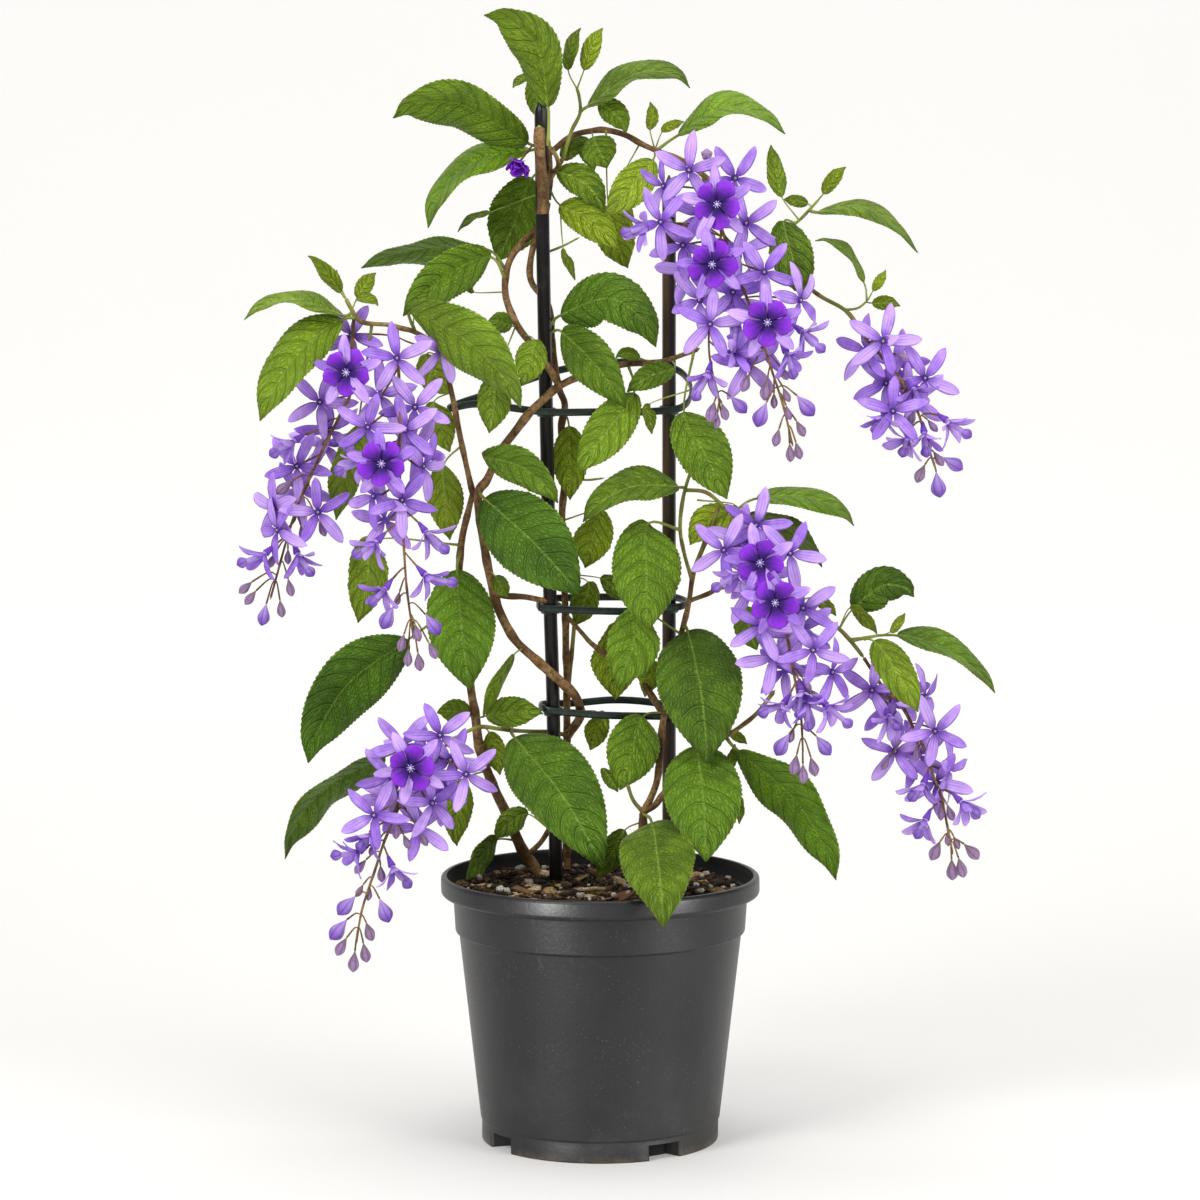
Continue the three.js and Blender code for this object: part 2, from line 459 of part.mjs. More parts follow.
// A leaf: a square stalk from the stem, and a blade with few points on the midrib and about twice as many on
// each margin, which step in and out as teeth. Both faces have the same triangles. A blade seen narrower than
// it grows is turned edge on. A bowed midrib stays bowed up to a shoulder, and then hooks over to the tip.
function leaf([root, base, middle, tip, seenWidth], seed) {
  const [start, centre, end] = [base, middle, tip].map(seen);
  const bow = centre.clone().sub(start.clone().lerp(end, 0.5));
  const shoulder = start.clone().lerp(end, HOOK.at).addScaledVector(bow, HOOK.bow);
  centre.addScaledVector(bow, HOOK.middle);
  const midrib = smooth([seen(root), start, centre, shoulder, end]);
  const stalk = seen(root).distanceTo(seen(base));
  const length = midrib.getLength();
  const blade = length - stalk;
  const seenAcross = seenWidth * PIXEL * BLADE.spread;
  const width = Math.max(seenAcross, blade * BLADE.widthShare);
  const turn = Math.min(Math.acos(seenAcross / width), degToRad(BLADE.mostTurn));
  const ribs = BLADE.ribs.find(({ above }) => blade > above).at;
  const parts = ribs.length > 1 ? 6 : 2 * ribs[0];
  const points = [];
  const place = (share, half, side, lift) => {
    const along = clamp((stalk + share * blade) / length, 0, 1);
    const tangent = midrib.getTangentAt(along);
    const facing = VIEWER.clone().addScaledVector(tangent, -VIEWER.dot(tangent)).normalize();
    facing.applyAxisAngle(tangent, chance(seed) < 0.5 ? turn : -turn);
    const across = new THREE.Vector3().crossVectors(tangent, facing);
    const fold = half * Math.abs(side) * BLADE.fold;
    const spot = midrib.getPointAt(along).addScaledVector(across, half * side);
    points.push(spot.addScaledVector(facing, fold + lift));
    return points.length - 1;
  };
  const halfAt = (j) => (width / 2) * bladeShape(j / parts) * (1 + (j % 2 ? BLADE.tooth : -BLADE.tooth));
  const faces = [1, -1].map((way) => {
    const lift = (way * BLADE.thick) / 2;
    const tipPoint = place(1, 0, 0, lift);
    const marginAt = (j, side) => place(j / parts, halfAt(j), side, lift);
    return {
      rib: ribs.map((j) => place(j / parts, 0, 0, lift)),
      edges: [1, -1].map((side) => [
        place(-stalk / blade, STALK.half, side, way * STALK.half),
        place(0, STALK.half, side, way * STALK.half),
        ...Array.from({ length: parts - 1 }, (_, j) => marginAt(j + 1, side)),
        tipPoint,
      ]),
    };
  });
  const triangles = [];
  const add = (corners, turned) => triangles.push(turned ? corners.toReversed() : corners);
  const nearest = (j) => ribs.findLastIndex((rib, k) => k === 0 || j >= rib - 1);
  faces.forEach(({ rib, edges: [left, right] }, face) => {
    add([left[0], right[0], right[1]], face === 0);
    add([left[0], right[1], left[1]], face === 0);
    add([left[1], right[1], rib[0]], face === 0);
    for (const [edge, turned] of [[left, face === 0], [right, face === 1]])
      for (let j = 0; j < parts; j++) {
        add([rib[nearest(j)], edge[j + 2], edge[j + 1]], turned);
        if (j > 0 && nearest(j) !== nearest(j - 1)) {
          add([rib[nearest(j - 1)], rib[nearest(j)], edge[j + 1]], turned);
        }
      }
  });
  for (const side of [0, 1]) {
    const [over, under] = faces.map(({ edges }) => edges[side]);
    for (let j = 0; j <= parts; j++) {
      add([over[j], under[j], under[j + 1]], side === 1);
      add([over[j], under[j + 1], over[j + 1]], side === 1);
    }
  }
  const [[a, b], [c, d]] = faces.map(({ edges: [left, right] }) => [left[0], right[0]]);
  add([a, c, d], true);
  add([a, d, b], true);
  return solidOf(geometryOf(points, triangles));
}

const LOBE_TURN = 72;

// A star of five lobes round the axis `facing`, `thick` deep: a five-sided middle, and lobes whose outlines
// step through shares of the radius and angles from the first of them, a valley. The lobes are lifted
// forward.
function star(centre, facing, roll, { radius, outline, lift, thick }) {
  const across = new THREE.Vector3().crossVectors(UP, facing).normalize();
  const over = new THREE.Vector3().crossVectors(facing, across);
  const forward = Math.sin(degToRad(lift));
  const outward = Math.cos(degToRad(lift));
  const rim = [0, 1, 2, 3, 4].flatMap((lobe) =>
    outline.map(([share, degrees]) => {
      const angle = degToRad(roll + LOBE_TURN * lobe + degrees);
      return centre.clone()
        .addScaledVector(across, radius * share * outward * Math.cos(angle))
        .addScaledVector(over, radius * share * outward * Math.sin(angle))
        .addScaledVector(facing, radius * (share - outline[0][0]) * forward);
    }),
  );
  const half = facing.clone().multiplyScalar(thick / outward / 2);
  const points = [1, -1].flatMap((way) => rim.map((point) => point.clone().addScaledVector(half, way)));
  const step = outline.length;
  const front = [[0, step, 2 * step], [0, 2 * step, 3 * step], [0, 3 * step, 4 * step]];
  for (let lobe = 0; lobe < 5; lobe++)
    for (let k = 1; k < step; k++)
      front.push([lobe * step, lobe * step + k, (lobe * step + k + 1) % rim.length]);
  const back = front.map((corners) => corners.map((corner) => corner + rim.length).reverse());
  const walls = rim.flatMap((_, a) => {
    const b = (a + 1) % rim.length;
    return [[a, a + rim.length, b + rim.length], [a, b + rim.length, b]];
  });
  return solidOf(geometryOf(points, [...front, ...back, ...walls]));
}

// A bud with its stalk, or a corolla that peeps out: rings that follow a profile of shares of its length and
// radii, closed by a point at each end.
function bud(from, to, { profile, sides }) {
  const way = to.clone().sub(from);
  const rings = profile.map(([share, radius]) =>
    ringRound(from.clone().addScaledVector(way, share), way, radius, sides, BACKWARD));
  return skin([Array(sides).fill(from), ...rings, Array(sides).fill(to)]);
}

// The way a flower looks: forward, and turned to the side and downward by its place beside the axis.
function facingOf(turn, down) {
  const yaw = degToRad(turn);
  return new THREE.Vector3(Math.sin(yaw), -Math.cos(yaw), -down).normalize();
}

// The point of an axis from which the flower at `place` hangs: the nearest one, a little further up.
function hangingPoint(axis, place) {
  const points = straight(axis).getPoints(RACEME.steps);
  const distances = points.map((point) => point.distanceTo(place));
  const nearest = distances.indexOf(Math.min(...distances));
  return points[Math.max(RACEME.fewestSteps, nearest - RACEME.hangSteps)];
}

// One raceme: a thin axis with stars, half-open flowers and buds on short stalks, and its open corollas.
function raceme(name, { axis, stars, open, bells, buds }) {
  const path = pointsOf(axis);
  const parts = [bar(path, RACHIS.root, RACHIS.end, RACHIS.sides)];
  const corollas = [];
  const depth = axis.at(-1)[2];
  const hang = (place) => {
    const from = hangingPoint(path, place);
    parts.push(bar([from, place], PEDICEL.radius, PEDICEL.radius, PEDICEL.sides));
    return new THREE.Vector3().subVectors(place, from).normalize();
  };
  const placeFlower = ([column, row, roll, turn = 0], forward, down) => {
    const centre = seen([column, row, depth - forward]);
    const beside = (centre.x - hangingPoint(path, centre).x) * RACEME.turnShare;
    const facing = facingOf(turn || clamp(beside, -RACEME.mostTurn, RACEME.mostTurn), down);
    hang(centre);
    parts.push(star(centre, facing, roll, CALYX));
    return { centre, facing };
  };
  stars.forEach((flower, k) =>
    placeFlower(flower, RACEME.layers[k % RACEME.layers.length], RACEME.down * chance(flower[0])));
  open.forEach((flower) => {
    const { centre, facing } = placeFlower(flower, RACEME.open, RACEME.openDown);
    corollas.push(corolla(centre, facing, flower[2] + LOBE_TURN / 2));
  });
  bells.forEach(([column, row, corollaColumn, corollaRow]) => {
    const centre = seen([column, row, depth - BELL.ahead - BELL.spread * chance(row)]);
    const way = hang(centre).add(facingOf(0, BELL.down)).normalize();
    parts.push(star(centre, way, LOBE_TURN * chance(column), BELL));
    if (corollaColumn) {
      const tip = seen([corollaColumn, corollaRow, depth - CORNET.ahead]);
      const end = tip.clone().add(tip.clone().sub(centre).setLength(CORNET.past));
      parts.push(bud(centre, end, CORNET));
    }
  });
  buds.forEach(([column, row]) => {
    const centre = seen([column, row, depth - BUD.ahead + BUD.spread * chance(column)]);
    const from = hangingPoint(path, centre);
    const way = centre.clone().sub(from).normalize();
    parts.push(bud(from, centre.addScaledVector(way, BUD.past), BUD));
  });
  return [
    meshOf(name, joined(parts), MATERIALS.calyx),
    ...corollas.map((solid, k) =>
      meshOf(`${name.replace("raceme", "corolla")}_${k + 1}`, solid, MATERIALS.corolla)),
  ];
}

// An open corolla: it lies in front of the middle of its star and flares toward the viewer.
function corolla(centre, facing, roll) {
  const half = COROLLA.thick / Math.cos(degToRad(COROLLA.lift)) / 2;
  const ahead = CALYX.thick / 2 + COROLLA.gap + half;
  return star(centre.clone().addScaledVector(facing, ahead), facing, roll, COROLLA);
}

// A profile of radii and heights turned about the vertical axis.
const turned = (profile, sides) =>
  new THREE.LatheGeometry(profile.map(([r, z]) => new THREE.Vector2(r, z)), sides).rotateX(Math.PI / 2);

// The pot: one closed profile turned about the axis, and notches cut through its lower edge.
function pot() {
  const bandFoot = POT.height - POT.rimHeight - POT.bandHeight;
  const rimFoot = POT.height - POT.rimHeight;
  const profile = [
    [0, 0], [POT.footRadius, 0], [POT.footRadius, POT.footHeight], [POT.wallFoot, POT.footHeight],
    [POT.wallTop, bandFoot], [POT.bandFoot, bandFoot], [POT.bandTop, rimFoot - POT.lipUnder],
    [POT.rimRadius - POT.lipSide, rimFoot], [POT.rimRadius, rimFoot + POT.lipUnder],
    [POT.rimRadius, POT.height - POT.lipTop], [POT.rimRadius - POT.lipCrown, POT.height],
    [POT.rimInner + POT.lipSide, POT.height], [POT.rimInner, POT.height - POT.lipInner],
    [POT.bandTop - POT.wall, rimFoot - POT.lipUnder], [POT.wallTop - POT.wall, bandFoot],
    [POT.footRadius - POT.wall, POT.floor], [0, POT.floor],
  ];
  let body = solidOf(turned(profile, POT.sides));
  for (let k = 0; k < POT.notches; k++) {
    const turn = degToRad(POT.notchTurn + (360 * k) / POT.notches);
    const notch = new THREE.BoxGeometry(POT.notchWidth, 2 * POT.notchReach, 2 * POT.notchHeight)
      .translate(0, -POT.footRadius, 0)
      .rotateZ(turn);
    body = body.subtract(solidOf(notch));
  }
  return body;
}

// The fill of the pot: it keeps clear of the wall, and its uneven top carries slabs of bark.
function soil(holes) {
  const bandFoot = POT.height - POT.rimHeight - POT.bandHeight;
  const inner = (radius) => radius - POT.wall - SOIL.gap;
  const top = inner(POT.bandTop) - SOIL.rimGap;
  const toe = inner(POT.footRadius) - SOIL.toeIn;
  const ringAt = (k) => (top * (SOIL.rings - 1 - k)) / SOIL.rings;
  const rings = Array.from({ length: SOIL.rings }, (_, k) => [ringAt(k), SOIL.level]);
  const profile = [
    [0, POT.floor + SOIL.gap], [toe, POT.floor + SOIL.gap], [toe, POT.notchHeight + SOIL.toeUp],
    [inner(POT.wallTop) - SOIL.wallGap, bandFoot], [top, SOIL.level - SOIL.edge], ...rings,
  ];
  const body = turned(profile, SOIL.sides);
  const place = body.attributes.position;
  const [longX, longY] = SOIL.longWave;
  const [shortX, shortY] = SOIL.shortWave;
  for (let k = 0; k < place.count; k++) {
    const [x, y, z] = [place.getX(k), place.getY(k), place.getZ(k)];
    const long = Math.sin(longX * x + 1) * Math.cos(longY * y);
    const short = SOIL.shortShare * Math.sin(shortY * y - shortX * x);
    if (z > SOIL.level - SOIL.edge / 2) place.setZ(k, z + SOIL.bump * (long + short));
  }
  const chips = Array.from({ length: CHIP.count }, (_, k) => {
    const turn = CHIP.turn * k;
    const reach = (top - CHIP.inset) * Math.sqrt((k + 0.5) / CHIP.count);
    const size = CHIP.length * (0.7 + 0.6 * chance(k));
    return solidOf(
      new THREE.BoxGeometry(size, size * CHIP.width, CHIP.thick)
        .rotateX(CHIP.tilt * (2 * chance(k + 40) - 1))
        .rotateY(CHIP.tilt * (2 * chance(k + 80) - 1))
        .rotateZ(2 * Math.PI * chance(k + 120))
        .translate(reach * Math.cos(turn), reach * Math.sin(turn), SOIL.level + CHIP.lift),
    );
  });
  return joined([solidOf(body), ...chips]).subtract(joined(holes));
}

// The points of a path that enters the soil, led straight down by `sunk` below the soil's level.
function rooted(path, sunk) {
  const points = path.map(seen);
  return [points[0].clone().setZ(SOIL.level - sunk), ...points];
}

// The hole in the soil for a bar of a radius: it clears the bar all round, up to its second place.
function holeFor(path, sunk, radius) {
  const clear = (radius + SOIL.hole) / Math.cos(Math.PI / SOIL.holeSides);
  return bar(rooted(path.slice(0, 2), sunk + SOIL.hole), clear, clear, SOIL.holeSides);
}

// A stake: a round bar from the soil to its top.
function stake(path) {
  return bar(rooted(path, STAKE.sunk), STAKE.radius, STAKE.radius, STAKE.sides);
}

// A hoop: a ring of wire round both stakes, with a short collar round each.
function hoop({ clips, path }) {
  const collars = clips.map(([name, row]) => {
    const upright = STAKES[name].map(seen);
    const height = seen([CAMERA.middle, row, STAKE.depth]).z;
    const above = upright.find((point) => point.z > height);
    const below = upright.findLast((point) => point.z <= height);
    const middle = below.clone().lerp(above, (height - below.z) / (above.z - below.z));
    const inner = (STAKE.radius + HOOP.clipGap) / Math.cos(Math.PI / HOOP.clipSides);
    const ring = [
      [inner, -HOOP.clipHeight / 2], [inner + HOOP.clipWall, -HOOP.clipHeight / 2],
      [inner + HOOP.clipWall, HOOP.clipHeight / 2], [inner, HOOP.clipHeight / 2],
      [inner, -HOOP.clipHeight / 2],
    ];
    return solidOf(turned(ring, HOOP.clipSides).translate(middle.x, middle.y, middle.z));
  });
  const wire = bar(path.map(seen), HOOP.wire, HOOP.wire, HOOP.sides, { reference: UP, closed: true });
  return joined([wire, ...collars]);
}

// A leafy stem: its stems and leaves in one body.
function leafy({ stems, leaves }) {
  return joined([
    ...stems.map(([root, tip, path, foot]) => {
      const sides = root < STEM.thinBelow ? STEM.thinSides : STEM.sides;
      return bar(foot ? rooted(path, STEM.sunk) : pointsOf(path), root, tip, sides);
    }),
    ...leaves.map((entry) => leaf(entry, entry[1][0] + entry[1][1])),
  ]);
}

const holes = [
  ...Object.values(STAKES).map((path) => holeFor(path, STAKE.sunk, STAKE.radius)),
  ...Object.values(LEAFY).flatMap(({ stems }) =>
    stems.filter(([, , , foot]) => foot).map(([root, , path]) => holeFor(path, STEM.sunk, root))),
];

const plant = new THREE.Group();
plant.name = "potted_sandpaper_vine";
plant.add(meshOf("pot", pot(), MATERIALS.pot), meshOf("soil", soil(holes), MATERIALS.soil));
for (const [name, path] of Object.entries(STAKES)) plant.add(meshOf(name, stake(path), MATERIALS.stake));
for (const [name, entry] of Object.entries(HOOPS)) plant.add(meshOf(name, hoop(entry), MATERIALS.hoop));
for (const [name, entry] of Object.entries(LEAFY)) plant.add(meshOf(name, leafy(entry), MATERIALS.leaf));
for (const [name, entry] of Object.entries(RACEMES)) plant.add(...raceme(name, entry));

export default plant;
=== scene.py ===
# %% [markdown]
# # A potted sandpaper vine
# A sandpaper vine is a woody twiner with rough, quilted leaves. Its flowers hang in long bunches: each has
# a lavender calyx like a five-pointed star, which lasts for weeks, and a deep violet corolla, which drops
# after a few days. This one climbs two stakes in a black nursery pot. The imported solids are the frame.
# Nearly every piece below is a finer surface that stands for one of them, in the same place.

import bpy
import numpy as np
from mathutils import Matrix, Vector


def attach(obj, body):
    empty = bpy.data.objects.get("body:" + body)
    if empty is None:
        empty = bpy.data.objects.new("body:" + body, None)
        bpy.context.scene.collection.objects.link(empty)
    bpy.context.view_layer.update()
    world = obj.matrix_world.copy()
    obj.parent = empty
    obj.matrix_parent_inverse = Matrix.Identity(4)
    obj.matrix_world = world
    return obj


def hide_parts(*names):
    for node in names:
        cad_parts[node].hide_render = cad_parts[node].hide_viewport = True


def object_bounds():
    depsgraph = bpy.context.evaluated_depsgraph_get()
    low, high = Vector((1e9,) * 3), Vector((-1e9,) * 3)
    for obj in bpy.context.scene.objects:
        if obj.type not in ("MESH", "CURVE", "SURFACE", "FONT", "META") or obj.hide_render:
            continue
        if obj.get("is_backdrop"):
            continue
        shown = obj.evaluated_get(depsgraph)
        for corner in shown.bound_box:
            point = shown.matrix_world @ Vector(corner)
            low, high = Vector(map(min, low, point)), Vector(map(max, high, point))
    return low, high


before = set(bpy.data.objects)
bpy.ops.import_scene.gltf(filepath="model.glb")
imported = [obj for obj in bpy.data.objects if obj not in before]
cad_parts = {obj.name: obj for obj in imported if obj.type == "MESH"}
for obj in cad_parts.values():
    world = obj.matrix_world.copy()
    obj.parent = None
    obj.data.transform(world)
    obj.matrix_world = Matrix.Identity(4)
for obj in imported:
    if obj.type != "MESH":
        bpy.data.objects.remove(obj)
cad_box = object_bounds()
print(len(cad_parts), "solids in the frame")

# %% [markdown]
# ## Where things lie
# Every place in the plant is given by three numbers: the column and the row of a pixel in a 1200 by 1200
# picture, and the depth behind the pot's middle in millimetres. The picture's camera turns them into
# metres. This keeps each leaf where it was seen, while the depth puts it on the stem that carries it.

# %% The camera and the places it sees
MM = 0.001
CAMERA_DISTANCE = 2700 * MM
CAMERA_HEIGHT = 639 * MM
CAMERA_PITCH = np.radians(6.3)
FOCAL = 4355
PICTURE = 1200
MIDDLE = PICTURE / 2
PIXEL = CAMERA_DISTANCE / FOCAL
UP = np.array([0, 0, 1])
BACKWARD = np.array([0.13, 1, 0.07])
VIEWER = np.array([0, -1, 0.1]) / np.hypot(1, 0.1)
CURVE_STEPS = 24


def seen(places):
    """Where pixels lie at their depths: the ray right, forward and up through the pixel, drawn out to the
    depth."""
    column, row, depth = np.moveaxis(np.asarray(places, float)[..., :3], -1, 0)
    right = (column - MIDDLE) / FOCAL
    rise = (MIDDLE - row) / FOCAL
    forward = np.cos(CAMERA_PITCH) + rise * np.sin(CAMERA_PITCH)
    upward = rise * np.cos(CAMERA_PITCH) - np.sin(CAMERA_PITCH)
    reach = (CAMERA_DISTANCE + depth * MM) / forward
    return np.stack([right * reach, depth * MM, CAMERA_HEIGHT + upward * reach], -1)


def unit(vectors):
    """Vectors of length 1: each divided by the root of the sum of its squares."""
    return vectors / np.linalg.norm(vectors, axis=-1, keepdims=True)


def chance(seed):
    """A repeatable number from 0 to 1: what is left behind the point of a large multiple of a sine."""
    return np.sin(np.asarray(seed) * 12.9898 + 4.1414) * 43758.5453 % 1


def read_along(wanted, known, path):
    """Places on a path, read at the wanted values of something that is known at each of its points."""
    return np.stack([np.interp(wanted, known, path[:, k]) for k in range(3)], -1)


def curve(points, count, closed=False):
    """Places evenly spread along a smooth curve through points. Between two points b and c, with a before
    and d after them, the place at share u is half of 2b + (c-a)u + (2a-5b+4c-d)u^2 + (3b-a-3c+d)u^3."""
    points = np.asarray(points, float)
    if closed:
        ends = np.vstack([points[-1:], points, points[:2]])
    else:
        ends = np.vstack([2 * points[:1] - points[1:2], points, 2 * points[-1:] - points[-2:-1]])
    a, b, c, d = (ends[k:len(ends) - 3 + k, None] for k in range(4))
    u = np.linspace(0, 1, CURVE_STEPS, endpoint=False)[:, None]
    parts = 2 * b + (c - a) * u + (2 * a - 5 * b + 4 * c - d) * u**2 + (3 * b - a - 3 * c + d) * u**3
    fine = np.vstack([parts.reshape(-1, 3) / 2, ends[-2]])
    gone = np.r_[0, np.cumsum(np.linalg.norm(np.diff(fine, axis=0), axis=1))]
    wanted = np.linspace(0, gone[-1], count, endpoint=not closed)
    return read_along(wanted, gone, fine)


def length_of(path):
    """The length of a path: the sum of its steps."""
    return np.linalg.norm(np.diff(path, axis=0), axis=1).sum()


print("a pixel at the pot's middle is", round(PIXEL / MM, 3), "mm")

# %% [markdown]
# ## One way to make every surface
# Stems, leaves, petals, the pot and the hoops are all lofts: a stack of rings with the same number of
# points. A round ring gives a stem and a flat one gives a blade with two faces and a closed edge. A Surface
# gathers many lofts into one mesh, so that a leafy stem with twenty leaves is one piece, and each loft
# carries its own named values, such as how young a leaf is, for its material to read.

# %% Surfaces from stacks of rings
class Surface:
    """Lofts gathered for one mesh."""

    def __init__(self):
        self.points, self.faces, self.values, self.count = [], [], [], 0

    def loft(self, rings, closed=False, **values):
        """Joins ring i to ring i+1 by quads. An open stack closes on the middle of each end ring. The
        corners' triple products add up to six times the volume, and where that is negative the faces are
        turned round."""
        rows, sides = rings.shape[:2]
        number = np.arange(rows * sides).reshape(rows, sides)
        low = number if closed else number[:-1]
        high = np.roll(number, -1, 0) if closed else number[1:]
        quads = np.stack([low, np.roll(low, -1, 1), np.roll(high, -1, 1), high], -1).reshape(-1, 4)
        points = rings.reshape(-1, 3)
        named = {name: np.broadcast_to(value, (rows, sides)) for name, value in values.items()}
        flat = {name: value.reshape(-1) for name, value in named.items()}
        caps = np.zeros((0, 3), int)
        if not closed:
            points = np.vstack([points, rings[[0, -1]].mean(1)])
            flat = {name: np.r_[value.reshape(-1), value[[0, -1]].mean(1)] for name, value in named.items()}
            poles = np.full((sides, 2), [rows * sides, rows * sides + 1])
            first = np.stack([np.roll(number[0], -1), number[0], poles[:, 0]], -1)
            last = np.stack([number[-1], np.roll(number[-1], -1), poles[:, 1]], -1)
            caps = np.vstack([first, last])
        corners = points[np.vstack([quads[:, :3], quads[:, [0, 2, 3]], caps])] - points[0]
        if np.einsum("ij,ij->", corners[:, 0], np.cross(corners[:, 1], corners[:, 2])) < 0:
            quads, caps = quads[:, ::-1], caps[:, ::-1]
        self.faces += (quads + self.count).tolist() + (caps + self.count).tolist()
        self.points.append(points)
        self.values.append(flat)
        self.count += len(points)

    def mesh(self, name):
        """The mesh, with an attribute for each named value. A loft that doesn't give a value has 0
        there."""
        made = bpy.data.meshes.new(name)
        made.from_pydata(np.vstack(self.points).tolist(), [], self.faces)
        for title in sorted(set().union(*self.values)):
            whole = [flat.get(title, np.zeros(len(part))) for flat, part in zip(self.values, self.points)]
            attribute = made.attributes.new(title, "FLOAT", "POINT")
            attribute.data.foreach_set("value", np.concatenate(whole).astype(np.float32))
        made.shade_smooth()
        return made


def piece(name, surface, finish, slot, *nodes):
    """A surface as an object at the origin, which rides on the root body and stands for the nodes named."""
    made = bpy.data.objects.new(name, surface.mesh(name))
    made.data.materials.append(finish)
    bpy.context.collection.objects.link(made)
    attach(made, "root")
    if nodes:
        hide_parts(*nodes)
    print(name, len(made.data.polygons), "faces")
    return made


def rings_round(path, radius, sides):
    """Rings square to a path: centre + radius (across cos a + over sin a), where across is square to the
    path's direction and to a backward direction that no path follows."""
    along = unit(np.gradient(path, axis=0))
    across = unit(np.cross(along, BACKWARD))
    over = np.cross(along, across)
    angle = np.linspace(0, 2 * np.pi, sides, endpoint=False)[None, :, None]
    radius = np.broadcast_to(radius, (len(path), sides))[..., None]
    return path[:, None] + radius * (across[:, None] * np.cos(angle) + over[:, None] * np.sin(angle))


def rounded_end(count, share):
    """A factor along a path that is 1 but falls nearly to 0 at its last share, as a quarter circle does."""
    past = np.clip((np.linspace(0, 1, count) - 1 + share) / share, 0, 1)
    return np.sqrt(1 - past**2 * 0.99)


# %% [markdown]
# ## Writing a finish
# A finish is a tree of nodes, and a tree is hard to read. A Wire stands for one socket in it. Sums on wires
# add the Math nodes, so that a scratch can be written as mask * 0.5, and any other node comes from one
# method. Only what changes over the surface is wired, and a value that is the same everywhere is set on the
# shader itself.

# %% A wire for the sums of a finish
class Wire:
    """One socket of a finish, which sums can be written with."""

    def __init__(self, tree, socket=None):
        self.tree, self.socket = tree, socket

    def node(self, kind, settings=None, sockets=None, output=0):
        """Adds a node: its settings are set first, then each socket gets its value or its wire."""
        made = self.tree.nodes.new("ShaderNode" + kind)
        for name, value in (settings or {}).items():
            setattr(made, name, value)
        for name, value in (sockets or {}).items():
            if isinstance(value, Wire):
                self.tree.links.new(value.socket, made.inputs[name])
            else:
                made.inputs[name].default_value = value
        return Wire(self.tree, made.outputs[output])

    def math(self, operation, first, second=0.0):
        return self.node("Math", {"operation": operation}, {0: first, 1: second})

    def __add__(self, other):
        return self.math("ADD", self, other)

    def __sub__(self, other):
        return self.math("SUBTRACT", self, other)

    def __mul__(self, other):
        return self.math("MULTIPLY", self, other)

    def __truediv__(self, other):
        return self.math("DIVIDE", self, other)

    def __abs__(self):
        return self.math("ABSOLUTE", self)

    def __mod__(self, other):
        return self.math("FLOORED_MODULO", self, other)

    __radd__ = __add__

    def sine(self):
        return self.math("SINE", self)

    def step(self, low, high):
        """0 below low, 1 above high and a smooth step between them. With low above high it falls
        instead."""
        ends = {"Value": self, "From Min": low, "From Max": high}
        return self.node("MapRange", {"interpolation_type": "SMOOTHSTEP"}, ends)

    def mix(self, first, second):
        """The first colour where this is 0 and the second where it is 1."""
        return self.node("Mix", {"data_type": "RGBA"}, {0: self, 6: first, 7: second}, output=2)

    def value(self, name):
        """A named value that the surface carries."""
        return self.node("Attribute", {"attribute_name": name}, output=2)

    def place(self):
        """Object coordinates, which are metres in the part's own frame."""
        return self.node("TexCoord", output=3)

    def noise(self, scale, detail=3.0, roughness=0.55, vector=None):
        """Cloudy noise from about 0.3 to 0.7, of that many grains in a metre."""
        sockets = {"Vector": vector or self.place(), "Scale": scale, "Detail": detail}
        return self.node("TexNoise", {}, sockets | {"Roughness": roughness})

    def grains(self, scale, feature="F1", vector=None):
        """The distance to the nearest of scattered points, of that many in a metre."""
        sockets = {"Vector": vector or self.place(), "Scale": scale}
        return self.node("TexVoronoi", {"feature": feature}, sockets)

    def vector(self, x, y, z):
        return self.node("CombineXYZ", {}, {0: x, 1: y, 2: z})


def paint(code):
    """A colour from its six-digit code: each part is brought from the screen's scale to the light's."""
    parts = np.array([int(code[k:k + 2], 16) for k in (0, 2, 4)]) / 255
    light = np.where(parts > 0.04045, ((parts + 0.055) / 1.055) ** 2.4, parts / 12.92)
    return (*light.tolist(), 1.0)


def new_finish(name):
    """A finish with its shader, and a wire to start its sums from."""
    made = bpy.data.materials.new(name)
    made.use_nodes = True
    return made, made.node_tree.nodes["Principled BSDF"], Wire(made.node_tree)


def apply_finish(start, shader, colour, roughness, height, depth, **fixed):
    """Wires what changes over the surface, and sets the rest on the shader. Depth is the height's size in
    m."""
    bump = start.node("Bump", {}, {"Height": height, "Distance": depth, "Strength": 1.0})
    for name, wire in (("Base Color", colour), ("Roughness", roughness), ("Normal", bump)):
        start.tree.links.new(wire.socket, shader.inputs[name])
    for name, value in fixed.items():
        shader.inputs[name.replace("_", " ")].default_value = value


# %% [markdown]
# ## The nursery pot
# The real pot is blow-moulded polyethylene: one skin with a rolled lip, a band below it that lets pots
# stack, a tapered wall, and a foot with drain notches. It is one profile turned about the axis. Each corner
# of the profile is rounded by a short curve, because the lip's highlight is what makes it look moulded. The
# notches are made in the same grid: in their part of the turn the foot's points move inward, so no cutting
# is needed.

# %% The pot's surface
POT_HEIGHT = 168 * MM
POT_TURNS = 360
CORNER_STEPS = 6
NOTCH_TURN = 33
NOTCH_WIDTH = 22 * MM
NOTCH_HEIGHT = 10 * MM
NOTCH_REACH = 12 * MM
FOOT_RADIUS = 74.6 * MM
WOBBLE = 0.25 * MM
WALL_FROM = 60 * MM
